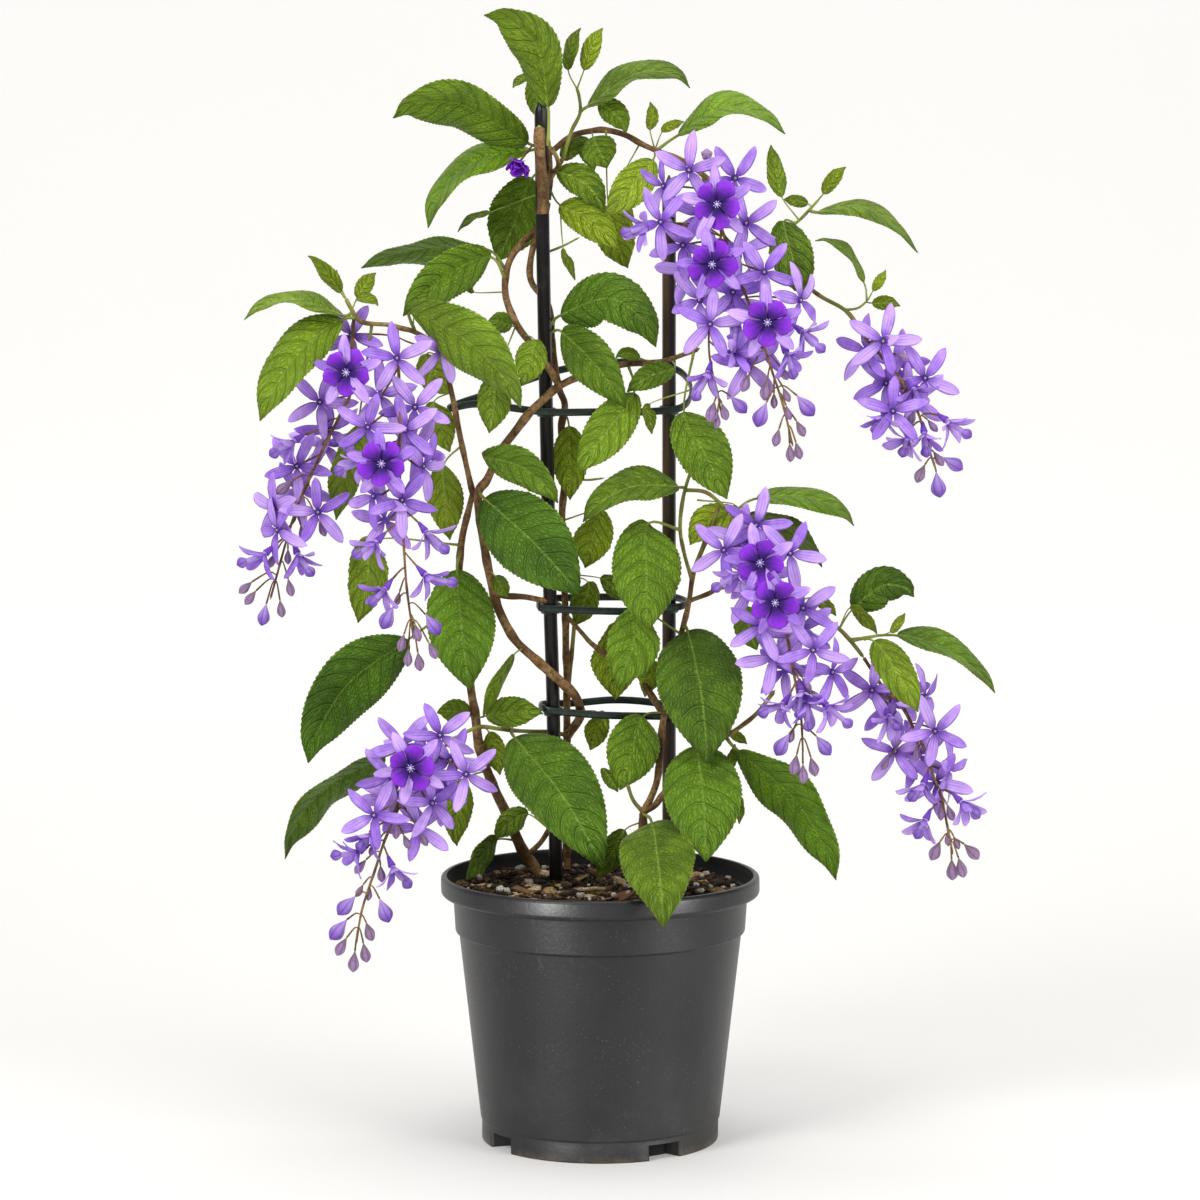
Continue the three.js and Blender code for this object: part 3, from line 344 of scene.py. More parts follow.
# Each corner of the wall's section, from the bottom's middle out and up: radius, height and roundness in mm.
POT_SECTION = [
    (0, 0, 0), (68.6, 0, 0.3), (74.6, 0, 1), (74.6, 10, 0.2), (74.6, 13, 0.4), (75.4, 13.8, 0.6),
    (88.8, 132, 0.6), (91, 132.6, 1.1), (92.4, 155.5, 1.6), (98.8, 156, 0.9), (100, 157.6, 1.2),
    (100, 166.6, 1.2), (98.7, 168, 0.9), (96.4, 168, 0.9), (95, 162, 2), (90.4, 154, 2), (86.6, 132, 2),
    (73, 12, 1), (0, 12, 0),
]


def rounded(corners):
    """A line through corners, each replaced by a curve (1-u)^2 a + 2u(1-u) b + u^2 c between two points a
    and c that lie the corner's roundness away from the corner b along its two sides."""
    place = np.array([corner[:2] for corner in corners], float)
    size = np.array([corner[2] for corner in corners])[:, None]
    before = np.roll(place, 1, 0)
    after = np.roll(place, -1, 0)
    before[0], after[-1] = place[0], place[-1]
    reach_in = size / np.maximum(np.linalg.norm(before - place, axis=1, keepdims=True), 1e-9)
    reach_out = size / np.maximum(np.linalg.norm(after - place, axis=1, keepdims=True), 1e-9)
    a = place + (before - place) * np.minimum(reach_in, 0.5)
    c = place + (after - place) * np.minimum(reach_out, 0.5)
    u = np.linspace(0, 1, CORNER_STEPS)[None, :, None]
    bent = (1 - u) ** 2 * a[:, None] + 2 * u * (1 - u) * place[:, None] + u**2 * c[:, None]
    return bent.reshape(-1, 2)


def pot_surface():
    """Radius and height from the section, turned about the axis. Within a notch the foot reaches less far
    out. The wall wobbles a little, in three waves round it that lean as they rise."""
    section = rounded(POT_SECTION) * MM
    turn = np.linspace(0, 2 * np.pi, POT_TURNS, endpoint=False) - np.pi / 2
    radius = np.repeat(section[:, :1], POT_TURNS, 1)
    height = np.repeat(section[:, 1:], POT_TURNS, 1)
    from_notch = (turn + np.pi / 2 - np.radians(NOTCH_TURN) + np.pi / 4) % (np.pi / 2) - np.pi / 4
    in_notch = np.abs(from_notch) * FOOT_RADIUS < NOTCH_WIDTH / 2
    foot = (height < NOTCH_HEIGHT) & in_notch
    radius = np.where(foot, np.minimum(radius, FOOT_RADIUS - NOTCH_REACH), radius)
    radius = radius + WOBBLE * np.sin(3 * turn + 9 * height / POT_HEIGHT) * (radius > WALL_FROM)
    made = Surface()
    made.loft(np.stack([radius * np.cos(turn), radius * np.sin(turn), height], -1))
    return made


# %% [markdown]
# ## A worn black plastic
# Moulded polyethylene is nearly black, but never evenly: it goes grey where it rubs on other pots, carries
# pale specks of dust and dried drops, and keeps a brown film of soil near the foot. Each of these is a mask
# made from noise, and the masks also make the plastic rougher where it is scuffed or dusty. The wall inside
# the lip and the hollows of the notches get no light, so two more masks darken and dull them.

# %% The pot's finish
FILM_TOP = 6.5 * MM
DUST_TOP = 90 * MM
# Where the painted shade's masks are 0 and where they are 1: heights in the lip and the notches, and
# distances from the axis.
LIP_RISE = (157.2 * MM, 158.5 * MM)
LIP_INWARD = (96.6 * MM, 96 * MM)
NOTCH_FALL = (10.1 * MM, 9.7 * MM)
NOTCH_INWARD = (73.5 * MM, 72.2 * MM)


def pot_plastic():
    """Scuffs, specks, drops, dust and a film of soil over a black that changes slowly, each mixed in by its
    mask. Painted shade, near black and dull, lies on the wall inside the lip and in the notches."""
    made, shader, start = new_finish("pot_plastic")
    place = start.place()
    height = start.node("SeparateXYZ", {}, {0: place}, output=2)
    upright = start.node("VectorMath", {"operation": "MULTIPLY"}, {0: place, 1: (1, 1, 0)})
    radius = start.node("VectorMath", {"operation": "LENGTH"}, {0: upright}, output=1)
    cloud = start.noise(9, 3, 0.6)
    fine = start.noise(420, 2)
    scuff_ways = start.node("Mapping", {}, {"Vector": place, "Scale": (1.0, 1.0, 0.4)})
    scuffs = start.noise(190, 5, 0.75, scuff_ways).step(0.57, 0.75) * start.noise(14, 2).step(0.42, 0.62)
    specks = start.grains(430).step(0.17, 0.07) * start.noise(45, 2).step(0.44, 0.62)
    drops = start.grains(95).step(0.1, 0.05) * start.noise(11, 1).step(0.52, 0.62)
    soil_film = height.step(FILM_TOP, 0.0) * start.noise(60, 5, 0.7).step(0.36, 0.62)
    dusty = height.step(DUST_TOP, 0.0) * start.noise(22, 4, 0.65).step(0.44, 0.68)
    colour = cloud.step(0.3, 0.7).mix(paint("17181a"), paint("242527"))
    colour = (scuffs * 0.26).mix(colour, paint("4a4b4e"))
    colour = (dusty * 0.35).mix(colour, paint("3c3935"))
    colour = (soil_film * 0.6).mix(colour, paint("6e5a42"))
    colour = (drops * 0.3).mix(colour, paint("6a6a6d"))
    colour = (specks * 0.36).mix(colour, paint("8b8b8c"))
    # Painted shade: the wall inside the lip and the hollows of the notches are made near black and dull.
    inside = height.step(*LIP_RISE) * radius.step(*LIP_INWARD)
    notch = height.step(*NOTCH_FALL) * radius.step(*NOTCH_INWARD)
    painted_shade = inside + notch
    colour = (painted_shade * 0.9).mix(colour, paint("030303"))
    roughness = 0.3 + cloud * 0.12 + scuffs * 0.14 + dusty * 0.16 + fine * 0.06 + painted_shade * 0.5
    relief = fine * 0.3 + cloud * 0.6
    apply_finish(start, shader, colour, roughness, relief, 0.0003, Specular_IOR_Level=0.36)
    return made


pot = piece("pot_wall", pot_surface(), pot_plastic(), "pot", "pot")

# %% [markdown]
# ## The potting mix
# Nursery mix is composted bark with perlite. Its surface is a bumpy disc a little below the rim. A grid of
# radius and turn carries the bumps as a sum of waves, and a skirt takes it down beside the wall. What lies
# on top is hundreds of separate slabs: dark bark chips and crumbs, pale slices, perlite and moss. Each slab
# is three uneven rings of six points, so that all of them stay light.

# %% The mix and its bark
SOIL_LEVEL = 158.5 * MM
SOIL_RADIUS = 89.2 * MM
SOIL_FLOOR = 120 * MM
SLAB_SIDES = 6


def soil_height(x, y):
    """The mix's level: a sum of slanted waves, 41, 22, 11 and 6 mm long."""
    wave = np.sin(140 * x + 60 * y) + 0.8 * np.sin(250 * y - 130 * x + 1) + 0.5 * np.sin(520 * x + 210 * y)
    return SOIL_LEVEL + 0.9 * MM * (wave + 0.4 * np.sin(900 * y - 500 * x))


def soil_surface():
    """Rings of growing radius at the mix's level, then one lower and narrower ring for its skirt."""
    radius = np.linspace(0.5 * MM, SOIL_RADIUS, 70)[:, None]
    turn = np.linspace(0, 2 * np.pi, 160, endpoint=False)[None]
    x, y = radius * np.cos(turn), radius * np.sin(turn)
    top = np.stack([x, y, soil_height(x, y)], -1)
    foot = top[-1:] * [0.9, 0.9, 0] + [0, 0, SOIL_FLOOR]
    made = Surface()
    made.loft(np.concatenate([top, foot]))
    return made


def slab(surface, seed, size, flatness, reach, rise):
    """An uneven slab: three rings of six points on ellipses, whose radii vary, curled, tilted and laid on
    the mix."""
    draw = chance(seed * 31.7 + np.arange(40))
    turn = draw[0] * 2 * np.pi
    away = reach * np.sqrt(draw[1])
    angle = np.linspace(0, 2 * np.pi, SLAB_SIDES, endpoint=False)
    shape = size * (0.7 + 0.6 * draw[3:9]) * (0.8 + 0.4 * draw[2])
    shares = np.array([0.75, 1, 0.7])[:, None]
    wide = 0.35 + 0.4 * draw[9]
    thick = size * flatness * (0.6 + 0.8 * draw[10])
    jitter = (draw[11:29].reshape(3, 6) - 0.5) * 0.25
    x = (shares + jitter) * shape * np.cos(angle)
    y = (shares - jitter) * shape * np.sin(angle) * wide
    curl = 0.15 * size * np.sin(x / size * 3) * draw[30]
    z = np.array([-0.5, 0.1, 0.5])[:, None] * thick * (1 + jitter) + curl
    tilt, spin = (draw[31] - 0.5) * 0.9, draw[32] * 2 * np.pi
    y, z = y * np.cos(tilt) - z * np.sin(tilt), y * np.sin(tilt) + z * np.cos(tilt)
    x, y = x * np.cos(spin) - y * np.sin(spin), x * np.sin(spin) + y * np.cos(spin)
    middle = np.array([away * np.cos(turn), away * np.sin(turn)])
    level = soil_height(*middle) + thick * rise
    surface.loft(np.stack([x + middle[0], y + middle[1], z + level], -1), tone=draw[33])


def slabs(count, seed, size, flatness, rise):
    """Many slabs of about one size, strewn evenly over the mix. Each stands out by its rise times its
    thickness."""
    made = Surface()
    for k in range(count):
        own_size = size * (0.55 + 0.9 * chance(seed + k))
        slab(made, seed + k, own_size, flatness, SOIL_RADIUS - 0.6 * size, rise)
    return made


def mix_finish(name, dark, mid, light, grain, depth, pitted=1.0):
    """Three colours of one crumbly stuff, chosen by each slab's own tone and by grain, with pits of the
    dark one."""
    made, shader, start = new_finish(name)
    tone = start.value("tone")
    fibres = start.noise(grain, 3, 0.7)
    colour = (tone + fibres * 0.5 - 0.25).step(0.1, 0.6).mix(paint(dark), paint(mid))
    colour = (tone * 0.9 + fibres * 0.4 - 0.2).step(0.55, 0.95).mix(colour, paint(light))
    colour = (start.noise(grain * 3, 1).step(0.6, 0.42) * pitted).mix(colour, paint(dark))
    apply_finish(start, shader, colour, 0.75 + fibres * 0.3, fibres, depth, Specular_IOR_Level=0.3)
    return made


crumb = mix_finish("crumb", "140b06", "2e1a0c", "4e321b", 260, 0.003)
bark_chip = mix_finish("bark_chip", "170d06", "432a13", "8a6840", 300, 0.0012)
perlite = mix_finish("perlite", "8f8577", "cfc8bb", "eeeae2", 500, 0.0008)
moss = mix_finish("moss", "3a4a12", "66781d", "93a338", 600, 0.0015)
pale_chip = mix_finish("pale_chip", "5c3d22", "b0905e", "e2cca4", 260, 0.0012, 0.6)
piece("soil_crumb", soil_surface(), crumb, "soil", "soil")
# What lies on the mix: how many, the seed, the size in mm, how flat, and how far it stands out.
STREWN = {
    "soil_bark": (620, 1000, 3.7, 0.4, 0.5, bark_chip),
    "soil_slices": (42, 9000, 7.6, 0.2, 1.0, pale_chip),
    "soil_crumbs": (900, 3000, 2.6, 0.6, 0.2, bark_chip),
    "soil_perlite": (110, 5000, 2.4, 0.8, 0.9, perlite),
    "soil_moss": (60, 7000, 2.8, 0.5, 0.3, moss),
}
for name, (count, seed, size, flatness, rise, finish) in STREWN.items():
    piece(name, slabs(count, seed, size * MM, flatness, rise), finish, "soil")

# %% [markdown]
# ## The stakes
# Two slim plant stakes hold the vine up. They are steel tubes in dark plastic, one of them brown, with faint
# ridges along them, and a lighter stripe down one side of each is a painted highlight. A stake is a loft of
# round rings along its path. The ridges are part of the radius, so that they catch the light on the outline
# too.

# %% Stakes
STAKES = {
    "stake_left": [(556, 880, 27), (553, 700, 27), (550, 600, 27), (547, 450, 27), (543, 250, 27),
                   (541, 95, 27)],
    "stake_right": [(669, 880, 27), (669, 500, 27), (669, 175, 27)],
}
STAKE_RADIUS = 4.25 * MM
STAKE_FOOT = 70 * MM
STAKE_RINGS = 60
STAKE_SIDES = 40
RIDGES = 10


def stake_surface(path):
    """Rings round the stake's path, whose radius has ten shallow ridges and falls to a rounded top."""
    places = seen(path)
    foot = places[0] * [1, 1, 0] + [0, 0, STAKE_FOOT]
    spine = curve(np.vstack([foot, places]), STAKE_RINGS)
    angle = np.linspace(0, 2 * np.pi, STAKE_SIDES, endpoint=False)
    ridged = STAKE_RADIUS * (1 + 0.02 * np.cos(RIDGES * angle))
    made = Surface()
    made.loft(rings_round(spine, ridged * rounded_end(STAKE_RINGS, 0.006)[:, None], STAKE_SIDES),
              turn=angle / (2 * np.pi))
    return made


def stake_coating(name, dark, lit, highlight_colour, highlight_side):
    """Long streaks of noise stretched along Z, with a painted highlight down one side and scattered marks.
    The turn is each point's share of the way round the stake, and the fifth argument is the share where the
    painted highlight lies."""
    made, shader, start = new_finish(name)
    stretched = start.node("Mapping", {}, {"Vector": start.place(), "Scale": (1, 1, 0.02)})
    streaks = start.noise(900, 3, 0.7, stretched)
    marks = start.noise(60, 4, 0.7)
    colour = streaks.step(0.35, 0.7).mix(paint(dark), paint(lit))
    side = start.value("turn")
    # Painted highlight: a lighter stripe down one side of the stake.
    colour = (abs(side - highlight_side).step(0.24, 0.06) * (0.35 + marks)).mix(colour, paint(highlight_colour))
    colour = (marks.step(0.56, 0.7) * 0.5).mix(colour, paint("39332e"))
    apply_finish(start, shader, colour, 0.2 + streaks * 0.12 + marks * 0.1, streaks + marks, 0.0002,
                 Specular_IOR_Level=0.35)
    return made


dark_stake = stake_coating("dark_stake", "060504", "120f0c", "3a342e", 0.62)
cane_stake = stake_coating("cane_stake", "0b0806", "1b1410", "57432f", 0.1)
for name, finish in (("stake_left", dark_stake), ("stake_right", cane_stake)):
    piece(name + "_tube", stake_surface(STAKES[name]), finish, "stake", name)

# %% [markdown]
# ## The tie hoops
# Plastic-coated wire goes round both stakes and holds the stems in. It is a doubled tie: two strands lie
# one above the other and are pressed together, so its section is like a figure eight. A closed loft follows
# the path of each hoop with that section. A short sleeve clips it to each stake.

# %% Hoops and their clips
HOOPS = {
    "hoop_upper": {
        "clips": [("stake_left", 412), ("stake_right", 410)],
        "path": [(452, 408, 22), (475, 404, 20.5), (505, 407, 20.5), (548, 412, 20.5), (600, 412, 20.5),
                 (640, 412, 20.5), (669, 410, 20.5), (682, 407, 21.5), (690, 398, 32), (689, 382, 46),
                 (672, 368, 60), (622, 362, 65), (560, 370, 64), (500, 390, 55), (460, 403, 40),
                 (449, 408, 29)],
    },
    "hoop_middle": {
        "clips": [("stake_left", 609), ("stake_right", 608)],
        "path": [(539, 606, 24), (546, 608.5, 20.2), (600, 611, 20.5), (640, 611, 20.5), (669, 608, 20.5),
                 (682, 606, 22), (687, 602, 34), (672, 597, 49), (640, 597, 52), (600, 597, 52),
                 (560, 598, 50), (542, 601, 42), (538, 604, 32)],
    },
    "hoop_lower": {
        "clips": [("stake_left", 711), ("stake_right", 715)],
        "path": [(543, 708, 24), (553, 711, 20.5), (600, 715, 20.5), (640, 716, 20.5), (669, 716, 20.5),
                 (681, 713, 24), (684, 709, 36), (668, 705, 49), (640, 701, 52), (610, 700, 52),
                 (575, 703, 51), (545, 704, 43), (540, 706, 32)],
    },
}
STRAND = 1.35 * MM
CLIP_HEIGHT = 5.5 * MM
CLIP_WALL = 1.7 * MM
CLIP_GAP = 0.2 * MM
HOOP_RINGS = 220
HOOP_SIDES = 16
CLIP_SIDES = 40


def stake_at(name, row):
    """Where a stake passes the row of a picture: its path, read at that height."""
    path = seen(STAKES[name])
    height = seen([MIDDLE, row, STAKES[name][0][2]])[2]
    rising = path[np.argsort(path[:, 2])]
    return read_along(height, rising[:, 2], rising)


def hoop_surface(clips, path):
    """Two strands: at angle a of the section the height is strand (1.75 sin a) and the width is strand cos
    a times 0.72 + 0.28 |sin a|. The sleeves are short tubes with a wall and chamfered ends."""
    made = Surface()
    spine = curve(seen(path), HOOP_RINGS, closed=True)
    along = unit(np.roll(spine, -1, 0) - np.roll(spine, 1, 0))
    out = unit(np.cross(along, UP))
    rise = np.cross(out, along)
    angle = np.linspace(0, 2 * np.pi, HOOP_SIDES, endpoint=False)[None, :, None]
    width = STRAND * np.cos(angle) * (0.72 + 0.28 * np.abs(np.sin(angle)))
    height = 1.75 * STRAND * np.sin(angle)
    made.loft(spine[:, None] + out[:, None] * width + rise[:, None] * height, closed=True)
    for name, row in clips:
        middle = stake_at(name, row)
        inner = STAKE_RADIUS + CLIP_GAP
        edge = inner + CLIP_WALL * 0.7
        outer = inner + CLIP_WALL
        radius = np.array([inner, edge, outer, outer, edge, inner])
        height = np.array([-0.5, -0.5, -0.32, 0.32, 0.5, 0.5]) * CLIP_HEIGHT
        turn = np.linspace(0, 2 * np.pi, CLIP_SIDES, endpoint=False)[:, None]
        rings = np.stack([radius * np.cos(turn), radius * np.sin(turn), height + 0 * turn], -1)
        made.loft(rings + middle, closed=True)
    return made


def tie_plastic():
    """Dark green vinyl, lighter where it is scraped along the strands."""
    made, shader, start = new_finish("tie_plastic")
    marks = start.noise(160, 4, 0.65)
    colour = marks.step(0.4, 0.7).mix(paint("04130e"), paint("0b3325"))
    colour = (start.noise(420, 3).step(0.62, 0.7) * 0.5).mix(colour, paint("2f7a5e"))
    apply_finish(start, shader, colour, 0.3 + marks * 0.25, marks, 0.0003, Coat_Weight=0.2)
    return made


green_tie = tie_plastic()
for name, hoop in HOOPS.items():
    piece(name + "_tie", hoop_surface(**hoop), green_tie, "hoop", name)

# %% [markdown]
# ## Stems and leaves, as they grow
# Each entry below is one leafy stem: its lengths of stem with a radius at each end, and its leaves. A leaf
# is given by the place where its stalk leaves the stem, by the base, middle and tip of its blade, and by
# the width seen. The last number is how young the leaf is, with painted light in it too: from 0 for an old
# leaf painted dark as if in shade, to 1 for a young one painted yellow-green as if sunlit.

# %% The leafy stems
LEAFY = {
    "climber_left": {
        "stems": [
            (3.7, 1.9, [(535, 869, 55), (525, 855, 54), (517, 838, 52), (507, 815, 50), (493, 785, 46),
                        (480, 750, 42), (476, 720, 38), (471, 690, 35), (466, 640, 33), (459, 590, 31),
                        (462, 540, 30), (473, 492, 27)], True),
            (1.9, 1.3, [(473, 494, 27), (465, 460, 22), (457, 420, 16), (450, 385, 8), (445, 365, 2),
                        (435, 345, -6), (415, 332, -14), (400, 328, -20), (390, 325, -24), (362, 322, -29),
                        (352, 310, -28), (345, 297, -27)]),
            (2, 1.5, [(524, 858, 54), (540, 843, 54), (551, 826, 54)]),
        ],
        "leaves": [
            ((352, 312, -28), (342, 315, -30), (296, 302, -34), (244, 320, -36), 13, 0.35),
            ((356, 318, -29), (342, 320, -30), (303, 352, -34), (260, 421, -40), 45, 0.35),
            ((345, 298, -27), (341, 293, -27), (326, 272, -28), (308, 256, -28), 14, 0.85),
            ((352, 310, -28), (357, 298, -26), (366, 284, -26), (376, 273, -26), 16, 0.8),
            ((415, 332, -14), (412, 312, -19), (470, 346, -34), (521, 408, -38), 48, 0.3),
            ((440, 355, -2), (427, 354, 6), (436, 374, 14), (450, 394, 20), 35, 0.75),
            ((451, 392, 9), (434, 402, 16), (440, 425, 22), (450, 452, 24), 30, 0.6),
            ((462, 445, 19), (444, 465, 24), (446, 502, 28), (450, 540, 28), 35, 0.6),
            ((372, 323.5, -26.5), (358, 425, 16), (346, 470, 22), (336, 520, 22), 30, 0.55),
            ((461, 545, 30), (377, 540, 32), (368, 580, 32), (358, 623, 28), 38, 0.45),
            ((461, 600, 31), (408, 640, 32), (352, 684, 28), (308, 763, 20), 60, 0),
            ((461, 550, 30), (457, 570, 22), (462, 628, 10), (470, 690, 4), 65, 0.05),
            ((476, 720, 38), (470, 716, 34), (454, 712, 28), (437, 713, 24), 25, 0.3),
            ((476, 719, 38), (486, 716, 32), (516, 712, 20), (543, 714, 11), 30, 0.25),
            ((514, 840, 51), (497, 840, 44), (482, 856, 26), (466, 880, 6), 22, 0.2),
            ((549, 829, 54), (528, 814, 50), (512, 822, 44), (495, 840, 38), 24, 0.3),
            ((488, 770, 45), (465, 780, 40), (458, 812, 34), (457, 846, 30), 28, 0.75),
            ((477, 724, 39), (489, 732, 43), (495, 753, 47), (500, 775, 48), 22, 0.7),
            ((345, 297, -27), (342, 290, -26), (338, 281, -25), (337, 270, -25), 8, 0.9),
            ((413, 331, -14), (415, 312, -10), (424, 306, -8), (433, 303, -6), 12, 0.7),
            ((352, 310, -28), (357, 300, -27), (368, 299, -27), (378, 306, -27), 10, 0.7),
            ((463, 620, 32), (452, 598, 28), (440, 600, 30), (428, 612, 32), 16, 0.6),
        ],
    },
    "climber_main": {
        "stems": [
            (2.3, 2, [(567, 868, 60), (566, 800, 52), (567, 720, 43), (565, 600, 41), (562, 520, 40),
                      (565, 470, 40), (561, 430, 40), (565, 405, 41), (558, 385, 40), (552, 340, 40),
                      (551, 318, 39), (545, 300, 38), (532, 283, 38), (530, 265, 38), (535, 240, 38),
                      (545, 215, 38), (548, 200, 37)], True),
            (1.3, 1.3, [(566, 572, 41), (575, 600, 44), (572, 650, 44), (567, 705, 43)]),
            (3, 2.4, [(568, 735, 43), (580, 716, 34), (576, 697, 22), (562, 683, 15), (540, 663, 14),
                      (515, 640, 18), (500, 612, 22), (493, 590, 22), (485, 550, 20), (478, 497, 18),
                      (487, 480, 16), (500, 452, 12), (515, 432, 10), (530, 412, 10), (545, 398, 12),
                      (560, 385, 14)]),
            (2.4, 1.4, [(557, 387, 14), (575, 378, 16), (595, 372, 15), (625, 364, 14), (660, 362, 13),
                        (690, 352, 12), (700, 348, 10)]),
            (2.2, 2.1, [(560, 386, 14), (550, 370, 14), (538, 352, 14), (520, 330, 20), (510, 310, 26),
                        (505, 290, 30), (508, 265, 34), (520, 245, 38), (538, 228, 39), (547, 210, 38)]),
            (0.9, 0.6, [(561, 470, 40), (567, 477, 38), (586, 480, 36), (605, 478, 34)]),
            (2.1, 1.6, [(490, 592, 21), (505, 596, 20), (525, 597, 22), (545, 601, 24), (562, 606, 34)]),
            (0.8, 0.6, [(548, 252, 38), (556, 249, 36), (565, 245, 34), (580, 237, 32)]),
        ],
        "leaves": [
            ((507, 272, 33), (487, 250, 42), (425, 250, 46), (361, 268, 42), 18, 0.1),
            ((506, 280, 31), (490, 257, 26), (450, 275, 14), (403, 316, 2), 42, 0.15),
            ((516, 325, 21), (497, 375, 4), (494, 403, 0), (489, 433, -2), 32, 0.35),
            ((480, 492, 18), (485, 499, 10), (530, 540, -8), (580, 596, -14), 72, 0),
            ((494, 464, 14), (484, 457, 6), (520, 468, -2), (558, 503, -6), 34, 0.15),
            ((524, 648, 16), (514, 655, 8), (497, 684, 2), (483, 718, -2), 12, 0.4),
            ((552, 325, 39), (561, 315, 24), (609, 304, 8), (656, 347, 0), 50, 0.05),
            ((552, 332, 39), (562, 332, 20), (592, 362, 2), (626, 408, -4), 42, 0.15),
            ((524, 335, 18), (534, 340, 6), (530, 362, 0), (522, 385, -2), 30, 0.4),
            ((628, 364, 14), (634, 393, 6), (608, 430, 0), (576, 472, -2), 42, 0.3),
            ((672, 360, 13), (674, 368, 6), (652, 376, 2), (627, 392, 0), 24, 0.15),
            ((694, 350, 11), (684, 412, 0), (704, 452, -10), (727, 499, -14), 50, 0.2),
            ((565, 412, 41), (569, 426, 38), (570, 460, 37), (570, 500, 37), 34, 0.7),
            ((564, 520, 40), (597, 512, 46), (592, 540, 48), (585, 568, 48), 38, 0.7),
            ((565, 574, 41), (588, 582, 36), (584, 602, 35), (576, 625, 35), 28, 0.6),
            ((568, 712, 43), (598, 712, 40), (596, 730, 38), (590, 750, 38), 24, 0.7),
            ((489, 570, 21), (495, 576, 16), (501, 586, 12), (508, 598, 10), 16, 0.4),
            ((517, 326, 21), (512, 326, 16), (500, 322, 10), (488, 322, 6), 20, 0.3),
            ((506, 292, 30), (474, 292, 24), (470, 282, 22), (474, 268, 22), 9, 0.6),
            ((565, 574, 41), (600, 578, 38), (614, 588, 36), (628, 602, 34), 18, 0.5),
            ((650, 362, 13), (640, 358, 10), (628, 354, 8), (616, 358, 6), 12, 0.4),
            ((690, 390, 6), (650, 404, 4), (650, 418, 3), (652, 434, 2), 12, 0.6),
        ],
    },
    "crown": {
        "stems": [
            (2, 1.8, [(548, 200, 37), (550, 180, 37), (549, 155, 37), (545, 130, 37)]),
            (1.7, 1.3, [(550, 176, 37), (558, 167, 31), (556, 156, 22), (548, 145, 17)]),
            (3.6, 3.2, [(543, 214, 19), (542, 180, 19), (540, 150, 19), (539, 125, 19)]),
            (1.4, 0.9, [(550, 180, 37), (562, 160, 36), (567, 145, 35), (572, 130, 34), (580, 113, 33),
                        (579, 96, 32), (576, 86, 32)]),
        ],
        "leaves": [
            ((548, 146, 17), (548, 107, 16), (534, 50, 12), (484, 15, 6), 42, 0.35),
            ((577, 89, 32), (568, 70, 31), (572, 48, 28), (581, 28, 26), 14, 0.5),
            ((577, 89, 32), (584, 70, 30), (592, 48, 26), (603, 28, 24), 18, 0.8),
            ((546, 134, 37), (536, 78, 46), (537, 98, 50), (540, 120, 50), 22, 0.4),
            ((547, 146, 37), (527, 143, 39), (462, 109, 28), (393, 118, 18), 43, 0.25),
            ((548, 150, 37), (530, 150, 40), (472, 168, 34), (428, 228, 26), 30, 0.15),
            ((550, 168, 37), (532, 178, 42), (518, 214, 50), (497, 262, 48), 55, 0.2),
            ((550, 178, 37), (557, 172, 32), (582, 183, 24), (603, 212, 18), 30, 0.35),
            ((552, 176, 37), (562, 160, 44), (578, 152, 48), (594, 172, 46), 26, 0.3),
            ((549, 188, 37), (560, 205, 32), (587, 219, 24), (617, 250, 18), 35, 0.75),
            ((580, 112, 33), (588, 106, 28), (637, 78, 20), (690, 88, 12), 25, 0.3),
            ((580, 110, 33), (598, 104, 25), (614, 114, 20), (626, 133, 16), 24, 0.35),
            ((541, 100, 37), (530, 78, 34), (521, 80, 32), (513, 88, 30), 9, 0.5),
            ((549, 190, 37), (490, 212, 40), (474, 218, 40), (458, 232, 40), 8, 0.5),
            ((560, 205, 32), (563, 248, 30), (569, 262, 30), (575, 280, 30), 8, 0.6),
        ],
    },
    "arch_shoot": {
        "stems": [
            (1.9, 1.2, [(550, 153, 37), (572, 136, 41), (590, 131, 38), (605, 130, 34), (625, 135, 30),
                        (640, 143, 28), (655, 150, 26), (690, 165, 22), (730, 200, 16), (770, 245, 10),
                        (812, 290, 4), (845, 310, 0), (860, 330, -4), (865, 338, -5)]),
            (1.2, 0.8, [(768, 243, 10), (797, 222, 6), (811, 208, 4), (820, 198, 3)]),
            (0.9, 0.7, [(845, 310, 0), (858, 308, -1), (868, 300, -2)]),
        ],
        "leaves": [
            ((606, 130, 32), (608, 205, 44), (616, 236, 50), (628, 268, 52), 38, 0.75),
            ((655, 150, 26), (653, 160, 20), (634, 184, 12), (605, 216, 6), 35, 0.6),
            ((592, 131, 38), (593, 137, 30), (599, 150, 26), (607, 168, 24), 34, 0.3),
            ((656, 151, 26), (678, 135, 22), (724, 112, 14), (785, 134, 6), 26, 0.2),
            ((799, 220, 6), (782, 197, 8), (775, 170, 8), (771, 145, 6), 18, 0.45),
            ((819, 199, 3), (823, 194, 2), (833, 180, 0), (846, 167, -2), 14, 0.85),
            ((810, 210, 4), (818, 212, 0), (862, 211, -8), (918, 253, -14), 16, 0.35),
            ((796, 223, 6), (784, 222, -4), (793, 258, -12), (807, 298, -16), 40, 0.2),
            ((867, 301, -2), (864, 282, -4), (846, 254, -8), (815, 241, -10), 9, 0.3),
            ((868, 300, -2), (873, 291, -2), (880, 280, -3), (886, 270, -4), 10, 0.8),
            ((866, 302, -2), (872, 303, -4), (886, 303, -8), (900, 306, -10), 14, 0.6),
            ((640, 143, 28), (612, 196, 30), (622, 204, 28), (634, 218, 26), 12, 0.5),
            ((812, 207, 4), (808, 204, 8), (796, 201, 12), (783, 200, 14), 12, 0.6),
            ((655, 150, 26), (650, 130, 22), (652, 118, 20), (650, 102, 20), 12, 0.8),
